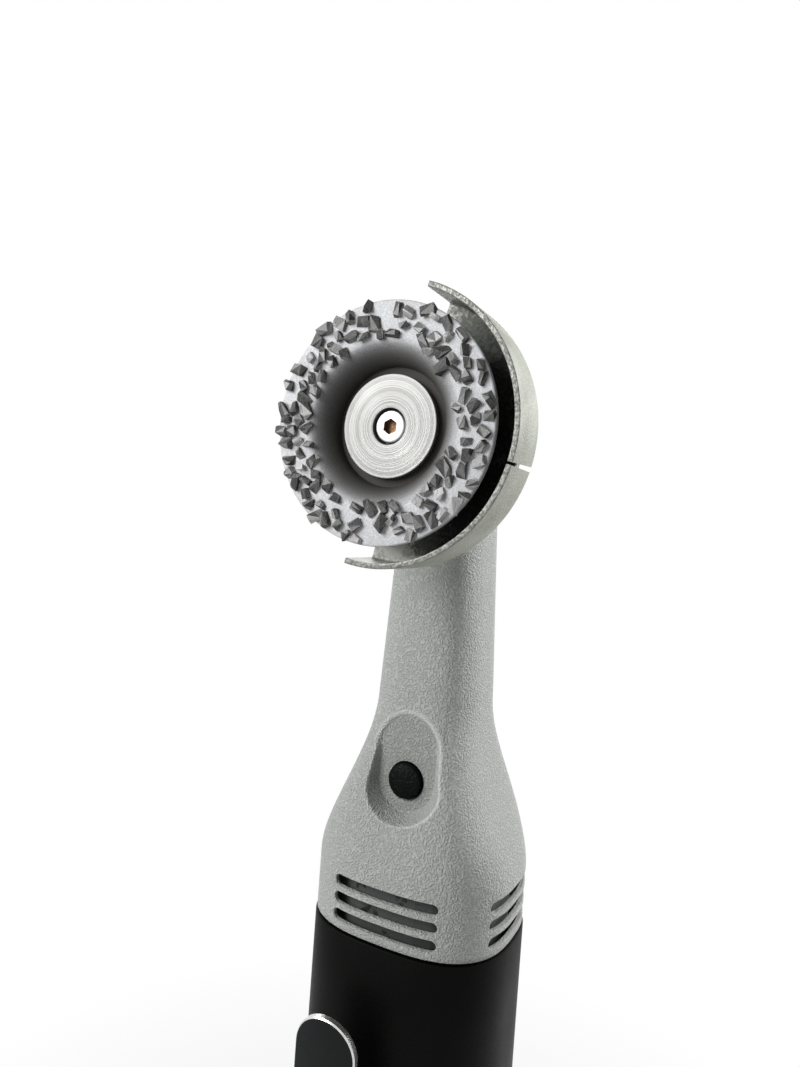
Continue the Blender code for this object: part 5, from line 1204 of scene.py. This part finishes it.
collarMesh, collarScrewMesh = buildCollar(collar)
piece("guardCollar", collarMesh, "zincOutside", "guard", ["guard_collar"])
piece("guardCollarScrew", collarScrewMesh, "oiledSteel", "guard", ["guard_collar_screw"])
print("guard made")


# spindle lock button

button = {"radius": 4.13, "floor": 13.2, "proud": 1.95, "dome": 1.0, "domeSteps": 12, "lip": 5.0,
          "lipFront": 11.3, "lipBack": 10.3, "bore": 1.6, "boreTop": 11.9}


def buildButton(b):
    rim = b["floor"] + b["proud"] - b["dome"]
    turns = [pi / 2 * k / b["domeSteps"] for k in range(b["domeSteps"] + 1)]
    profile = [(b["radius"] * sin(a), rim + b["dome"] * cos(a)) for a in turns]
    profile += [(b["radius"], b["lipFront"]), (b["lip"], b["lipFront"]), (b["lip"], b["lipBack"]),
                (b["bore"], b["lipBack"]), (b["bore"], b["boreTop"]), (0, b["boreTop"])]
    return revolve("lockButton", inMm(profile), 64, lockFrame)


piece("lockCap", buildButton(button), "buttonBlack", "lock", ["lock_button"])


# grip and tail cap

grip = {"half": (24.88, 21.58), "power": 2.8, "columns": 96, "wall": 2.5, "low": 14.3, "high": 128.1,
        "edge": 0.5, "rows": 8, "plungerHole": 2.55, "plungerSpot": (-7.0, 58.1), "holeReach": (16, 23)}
tail = {"height": 14.0, "edge": 1.8, "edgeSteps": 6, "floor": 4.0, "spigot": 18.0, "spigotGap": 0.3,
        "wall": 2.2, "topEdge": ((0, 0.4), (0.12, 0.12), (0.4, 0)), "inletY": 9.5, "inletHalf": 3.8,
        "inletRadius": 6.0, "inletMouth": ((0.35, -1), (0.35, -0.02), (0, 0.35), (0, 10)), "tieX": 16.1,
        "tieY": 12.1, "tieHead": 2.9, "tieSeat": 3.5, "tieMouth": (0.3, -0.02, 0.3, -1)}
inletFrame = Matrix.Translation((0, tail["inletY"] * mm, 0))


def bodyRing(inset, z):
    halfX, halfY = (half - inset for half in grip["half"])
    return inMm(level(crownedOutline(halfX, halfY, grip["power"], grip["columns"] + 1)[:-1], z))


def buildGrip(g):
    e, low, high = g["edge"], g["low"], g["high"]
    line = [(e, low), (e * 0.3, low + e * 0.3), (0, low + e)]
    line += [(0, low + e + (high - low - 2 * e) * k / g["rows"]) for k in range(1, g["rows"])]
    line += [(0, high - e), (e * 0.3, high - e * 0.3), (e, high), (g["wall"], high), (g["wall"], low)]
    body = skin("grip", [bodyRing(inset, z) for inset, z in line], loop=True)
    spot = Matrix.Translation((g["plungerSpot"][0] * mm, 0, g["plungerSpot"][1] * mm)) @ facing
    return shaped(body, drill(g["plungerHole"], *g["holeReach"], 40, spot))


def stadium(halfLength, radius, steps=14):
    right = arc((halfLength, 0), radius, -pi / 2, pi / 2, steps)
    return right + arc((-halfLength, 0), radius, pi / 2, 3 * pi / 2, steps)


def buildTail(t):
    turns = [pi / 2 * k / t["edgeSteps"] for k in range(t["edgeSteps"] + 1)]
    line = [(t["edge"] * (1 - sin(a)), t["edge"] * (1 - cos(a))) for a in turns]
    line += [(inset, t["height"] - drop) for inset, drop in t["topEdge"]]
    gap = t["spigotGap"]
    outside = grip["wall"] + gap
    inside = outside + t["wall"]
    line += [(outside, t["height"]), (outside, t["spigot"] - gap), (outside + gap, t["spigot"]),
             (inside, t["spigot"]), (inside, t["floor"])]
    cutters = [skin("inlet", [inMm(level(stadium(t["inletHalf"], t["inletRadius"] + grow), z))
                              for grow, z in t["inletMouth"]], inletFrame)]
    hole = inMm(edgedHole(t["tieHead"], t["tieSeat"], 0, t["tieMouth"])[::-1])
    for sx, sy in fourCorners:
        spot = Matrix.Translation((sx * t["tieX"] * mm, sy * t["tieY"] * mm, 0))
        cutters.append(revolve("hole", hole, 40, spot))
    return shaped(skin("tail", [bodyRing(inset, z) for inset, z in line]), gathered("holes", cutters))


piece("gripSleeve", buildGrip(grip), "blackMoulding", "housing", ["grip_body"])
piece("tailEnd", buildTail(tail), "blackMoulding", "housing", ["tail_cap"])


# power inlet: shell, deep socket and two pins

inlet = {"low": 0.6, "high": 14.0, "half": 3.8, "outer": 5.7, "inner": 4.2, "edge": 0.3, "floor": 11.8,
         "pinSpacing": 8.6, "pinRadius": 1.2, "pinTip": 3.4, "pinNose": ((0.6, 0.05), (1.0, 0.4)),
         "pinShoulder": 1.0, "pinSink": 0.4}


def buildInlet(n):
    rows = [(n["inner"], n["floor"]), (n["inner"], n["low"] + n["edge"]), (n["inner"] + n["edge"], n["low"]),
            (n["outer"] - n["edge"], n["low"]), (n["outer"], n["low"] + n["edge"]), (n["outer"], n["high"])]
    shell = skin("inlet", [inMm(level(stadium(n["half"], radius), z)) for radius, z in rows], inletFrame)
    tip, radius, foot = n["pinTip"], n["pinRadius"], n["floor"] + n["pinSink"]
    profile = [(0, tip)] + [(r, tip + rise) for r, rise in n["pinNose"]]
    profile += [(radius, tip + n["pinShoulder"]), (radius, foot), (0, foot)]
    spots = [Matrix.Translation((side * n["pinSpacing"] / 2 * mm, 0, 0)) for side in (-1, 1)]
    pins = [revolve("pin", inMm(profile), 32, inletFrame @ spot) for spot in spots]
    return shell, gathered("pins", pins)


inletShell, inletPins = buildInlet(inlet)
piece("inletShell", inletShell, "greyMoulding", "housing", ["power_inlet"])
piece("inletPins", inletPins, "brassPressed", "housing")
print("grip, tail and inlet made")


# lever: crowned tongue with bright cut edges, lugs and a spring stud

lever = {"x": -7.0, "pivotForward": 25.9, "pivotZ": 38.1, "under": 3.4, "sheet": 1.8, "reach": 76.45,
         "tail": 5.45, "half": 7.75, "crown": 0.75, "edge": 0.3, "corner": ((0, 0.8), (0.25, 0.3), (0.8, 0)),
         "straight": 1.5, "columns": 25, "straightSteps": 24, "tipSteps": 20, "tipHalf": 0.02, "lugIn": 5.8,
         "lugSheet": 1.3, "lugRadius": 3.0, "sink": 0.5, "stud": 1.6, "studHeight": 1.5, "studEdge": 0.3,
         "springRise": 45.0, "pinHole": 1.55, "plateEdge": 0.15, "holeHalf": 12, "edgeFacing": 0.78}
pivotFrame = Matrix.Translation((lever["x"] * mm, -lever["pivotForward"] * mm, lever["pivotZ"] * mm)) @ facing
acrossFrame = Matrix.Rotation(pi / 2, 4, "Z") @ Matrix.Rotation(pi / 2, 4, "X")


def leverOutline(v, shrink):
    # half widths at stations along the tongue, from the square end to the round tip
    half, tip = v["half"] - shrink, v["reach"] - v["half"]
    stations = [(-v["tail"] + shrink + rise, half - cut) for rise, cut in v["corner"]]
    start, steps = -v["tail"] + v["straight"], v["straightSteps"]
    stations += [(between(start, tip, k / steps), half) for k in range(steps + 1)]
    for k in range(1, v["tipSteps"] + 1):
        a = pi / 2 * k / v["tipSteps"]
        stations.append((tip + half * sin(a), max(half * cos(a), v["tipHalf"])))
    return stations


def leverPlate(v):
    n, e, top = v["columns"], v["edge"], v["under"] + v["sheet"]
    verts, faces, starts = [], [], []
    for shrink, height in ((e, v["under"]), (0, v["under"] + e), (0, top - e), (e, top)):
        starts.append(len(verts))
        stations = leverOutline(v, shrink)
        for along, half in stations:
            for x in np.linspace(-1, 1, n) * half:
                verts.append((x, along, height - v["crown"] * (x / v["half"]) ** 2))
    count = len(stations)
    for i in range(count - 1):
        for j in range(n - 1):
            quad = [i * n + j, i * n + j + 1, (i + 1) * n + j + 1, (i + 1) * n + j]
            faces.append([starts[0] + k for k in quad[::-1]])
            faces.append([starts[-1] + k for k in quad])
    border = [i * n for i in range(count)] + [(count - 1) * n + j for j in range(1, n)]
    border += [i * n + n - 1 for i in range(count - 2, -1, -1)] + [j for j in range(n - 2, 0, -1)]
    for low, high in zip(starts, starts[1:]):
        for a, b in zip(border, border[1:] + border[:1]):
            faces.append([low + a, low + b, high + b, high + a])
    return meshFrom("lever", inMm(verts), faces)


def pairOfPlates(outline, lows, sheet, edge, hole, holeHalf):
    # two upright plates with one hole through both, turned to stand along the pin
    plates = [slab("plate", inMm(outline), low * mm, (low + sheet) * mm, edge * mm) for low in lows]
    mesh = shaped(gathered("plates", plates), drill(hole, -holeHalf, holeHalf, 40))
    mesh.transform(acrossFrame)
    return mesh


def buildLever(v):
    plate = leverPlate(v)
    paintFaces(plate, lambda centre, normal: 1 if abs(normal.z) < v["edgeFacing"] else 0)
    under, top, r = v["under"], v["under"] + v["sink"], v["lugRadius"]
    outline = arc((0, 0), r, pi, 2 * pi, 20) + [(r, top), (-r, top)]
    lugs = pairOfPlates(outline, (v["lugIn"], -v["lugIn"] - v["lugSheet"]), v["lugSheet"], v["plateEdge"],
                        v["pinHole"], v["holeHalf"])
    foot, edge = under - v["studHeight"], v["studEdge"]
    line = [(0, foot), (v["stud"] - edge, foot), (v["stud"], foot + edge), (v["stud"], top), (0, top)]
    stud = revolve("stud", inMm(line), 40, Matrix.Translation((0, v["springRise"] * mm, 0)))
    body = gathered("lever", [plate, lugs, stud])
    body.transform(pivotFrame)
    return body


piece("leverTongue", buildLever(lever), ["leverBlack", "leverEdge"], "lever",
      ["throttle_lever"])

bracket = {"earIn": 4.1, "earOut": 5.5, "earRadius": 2.6, "earFoot": 1.5, "earEdge": 0.15, "baseHalf": 5.2,
           "halfHeight": 7.0, "base": -4.0, "baseDeep": 2.5, "baseEdge": 0.5, "sheet": 1.4, "seatGap": 0.3,
           "pinHole": 1.55, "pinRadius": 1.25, "pinHalf": 7.4, "pinEdge": 0.25, "pinEnd": 0.8, "holeHalf": 9}


def buildBracket(b):
    base = box("base", (-b["baseHalf"], -b["halfHeight"], b["base"] - b["baseDeep"]),
               (b["baseHalf"], b["halfHeight"], b["base"] + b["sheet"]), b["baseEdge"])
    sleeve = [bodyRing(-b["seatGap"], z) for z in (grip["low"], grip["high"])]
    base = shaped(base, skin("sleeve", sleeve, pivotFrame.inverted()))
    foot, wide = b["base"] + b["sheet"] / 2, b["earRadius"] * b["earFoot"]
    outline = arc((0, 0), b["earRadius"], 0, pi, 20) + [(-wide, foot), (wide, foot)]
    ears = pairOfPlates(outline, (b["earIn"], -b["earOut"]), b["earOut"] - b["earIn"], b["earEdge"],
                        b["pinHole"], b["holeHalf"])
    r, half, edge = b["pinRadius"], b["pinHalf"], b["pinEdge"]
    line = [(0, -half), (r * b["pinEnd"], -half), (r, edge - half), (r, half - edge), (r * b["pinEnd"], half),
            (0, half)]
    pin = revolve("pin", inMm(line), 40, Matrix.Rotation(pi / 2, 4, "Y"))
    body = gathered("bracket", [base, ears])
    body.transform(pivotFrame)
    pin.transform(pivotFrame)
    return body, pin


bracketMesh, pinMesh = buildBracket(bracket)
piece("leverBracket", bracketMesh, "oiledSteel", "housing", ["lever_bracket"])
piece("leverPin", pinMesh, "brightSteel", "housing", ["lever_pin"])


# springs, wound along a spiral

springs = {
    "leverSpring": {"turns": 4.0, "radius": 2.6, "wire": 0.33, "low": 22.19, "high": 28.6, "seat": 21.8,
                    "place": (-7.0 * mm, 0, 83.1 * mm), "keep": 0.45, "joint": "lever_squeeze",
                    "stands": "lever_spring"},
    "lockSpring": {"turns": 3.0, "radius": 3.0, "wire": 0.25, "low": 6.85, "high": 9.65, "seat": 6.6,
                   "place": (0, 0, pocketMiddle), "keep": 0.35, "joint": "lock_press",
                   "stands": "lock_spring"},
}


def springTree(coilSteps=28, wireSides=12):
    tree, keys, given = startTree("woundSpring", {
        "Turns": ("Float", 4.0), "Radius": ("Float", 0.003), "Height": ("Float", 0.006),
        "Wire": ("Float", 0.0003)})
    spiral = addNode(tree, "GeometryNodeCurveSpiral", {
        "Resolution": coilSteps, "Rotations": given["Turns"], "Start Radius": given["Radius"],
        "End Radius": given["Radius"], "Height": given["Height"]})
    wire = addNode(tree, "GeometryNodeCurvePrimitiveCircle",
                   {"Resolution": wireSides, "Radius": given["Wire"]})
    sweep = addNode(tree, "GeometryNodeCurveToMesh", {
        "Curve": spiral.outputs["Curve"], "Profile Curve": wire.outputs["Curve"], "Fill Caps": True})
    endTree(tree, given, sweep.outputs["Mesh"])
    return tree, keys


springNodes, springKeys = springTree()


def buildSpring(name, s):
    mesh = mended(runTree(name, springNodes, springKeys, {
        "Turns": s["turns"], "Radius": s["radius"] * mm, "Height": (s["high"] - s["low"]) * mm,
        "Wire": s["wire"] * mm, "Finish": looks["brightSteel"]}))
    mesh.transform(Matrix.Translation(s["place"]) @ facing @ Matrix.Translation((0, 0, s["low"] * mm)))
    return mesh


for label, s in springs.items():
    spring = piece(label, buildSpring(label, s), "brightSteel", "housing", [s["stands"]],
                   sharp=60)
    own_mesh(spring)

plunger = {"radius": 2.2, "back": 15.6, "front": 28.98, "z": 58.1, "edges": (0, 0.9, 0.3, 0)}


def buildPlunger(p):
    points = [(0, p["front"]), (p["radius"], p["front"]), (p["radius"], p["back"]), (0, p["back"])]
    place = Matrix.Translation((lever["x"] * mm, 0, p["z"] * mm)) @ facing
    return turned("plunger", points, p["edges"], 48, place, 5)


piece("switchPlunger", buildPlunger(plunger), "greyMoulding", "plunger",
      ["switch_plunger"])
print("lever, springs and plunger made")


# finishes for the working parts inside, which keep their solids

insideFinish = {
    "brightSteel": ["front_bearing", "rear_bearing", "pinion_bearing", "spindle", "lock_pin", "lock_bridge",
                    "drive_shaft", "lock_collar", "motor_shaft", "motor_front_bearing", "motor_can",
                    "motor_rear_bearing"],
    "oiledSteel": ["bevel_gear", "bevel_pinion", "armature_core"],
    "greyMoulding": ["cooling_fan", "motor_front_plate", "motor_end_bell", "switch_body"],
    "baffleGrey": ["air_baffle"],
    "brassPressed": ["shaft_coupling", "brush_holder_left", "brush_holder_right"],
    "copperWire": ["armature_winding", "commutator"],
    "darkCeramic": ["magnet_left", "magnet_right", "carbon_brush_left", "carbon_brush_right"],
    "wireSheath": ["supply_wire", "switched_wire", "return_wire"],
}
for label, names in insideFinish.items():
    for name in names:
        cadNodes[name].data.materials.clear()
        cadNodes[name].data.materials.append(looks[label])
print("working parts finished")


# floor and light

studio = {
    "sky": 0.10, "white": 1.0, "target": (0, 0, 0.18),
    "floor": {"radius": 4.0, "sides": 96, "drop": 0.0002, "high": (0.5, 0.5, 0.5), "roughness": 0.9,
              "metallic": 0.0, "specular": 0.1, "clear": (0.05, 0.20), "clearShare": (0.6, 1.0)},
    "lamps": [
        {"name": "keyLight", "place": (-0.365, -0.505, 0.46), "size": 0.40, "power": 5.0},
        {"name": "sideLight", "place": (0.76, 0.70, 0.65), "size": 0.5, "power": 17.0},
        {"name": "backLight", "place": (-0.45, 0.80, 0.55), "size": 0.6, "power": 4.0},
    ],
}


def seenShare(tree):
    path = addNode(tree, "ShaderNodeLightPath").outputs
    first = calc(tree, "MAXIMUM", path["Is Camera Ray"], path["Is Glossy Ray"])
    return calc(tree, "MAXIMUM", first, path["Is Transmission Ray"])


def buildWorld(s):
    world = bpy.data.worlds.new("studio")
    scene.world = world
    world.use_nodes = True
    tree = world.node_tree
    tree.nodes.clear()
    soft, white = (addNode(tree, "ShaderNodeBackground",
                           {"Color": (1, 1, 1, 1), "Strength": s[key]}).outputs[0]
                   for key in ("sky", "white"))
    mix = addNode(tree, "ShaderNodeMixShader", {0: seenShare(tree), 1: soft, 2: white})
    addNode(tree, "ShaderNodeOutputWorld", {"Surface": mix.outputs[0]})


def buildFloor(f):
    turns = [2 * pi * k / f["sides"] for k in range(f["sides"])]
    mesh = bpy.data.meshes.new("paleFloor")
    mesh.from_pydata([(f["radius"] * cos(a), f["radius"] * sin(a), -f["drop"]) for a in turns], [],
                     [list(range(f["sides"]))])
    floor = hold(mesh)
    floor.name = "paleFloor"
    material, tree, sockets, coords = startMaterial("paleFloor", f)
    length = addNode(tree, "ShaderNodeVectorMath", {0: coords}, operation="LENGTH").outputs["Value"]
    share = calc(tree, "MULTIPLY", remap(tree, length, f["clear"], f["clearShare"]), seenShare(tree))
    glow = addNode(tree, "ShaderNodeEmission").outputs[0]
    plain = tree.nodes["Principled BSDF"].outputs[0]
    mix = addNode(tree, "ShaderNodeMixShader", {0: share, 1: plain, 2: glow})
    tree.links.new(mix.outputs[0], tree.nodes["Material Output"].inputs["Surface"])
    mesh.materials.append(material)


def buildLamps(s):
    for lamp in s["lamps"]:
        data = bpy.data.lights.new(lamp["name"], "AREA")
        data.size = lamp["size"]
        data.energy = lamp["power"]
        shape = bpy.data.objects.new(lamp["name"], data)
        scene.collection.objects.link(shape)
        shape.location = lamp["place"]
        shape.rotation_euler = (Vector(s["target"]) - shape.location).to_track_quat("-Z", "Y").to_euler()


buildWorld(studio)
buildFloor(studio["floor"])
buildLamps(studio)
print("studio made")
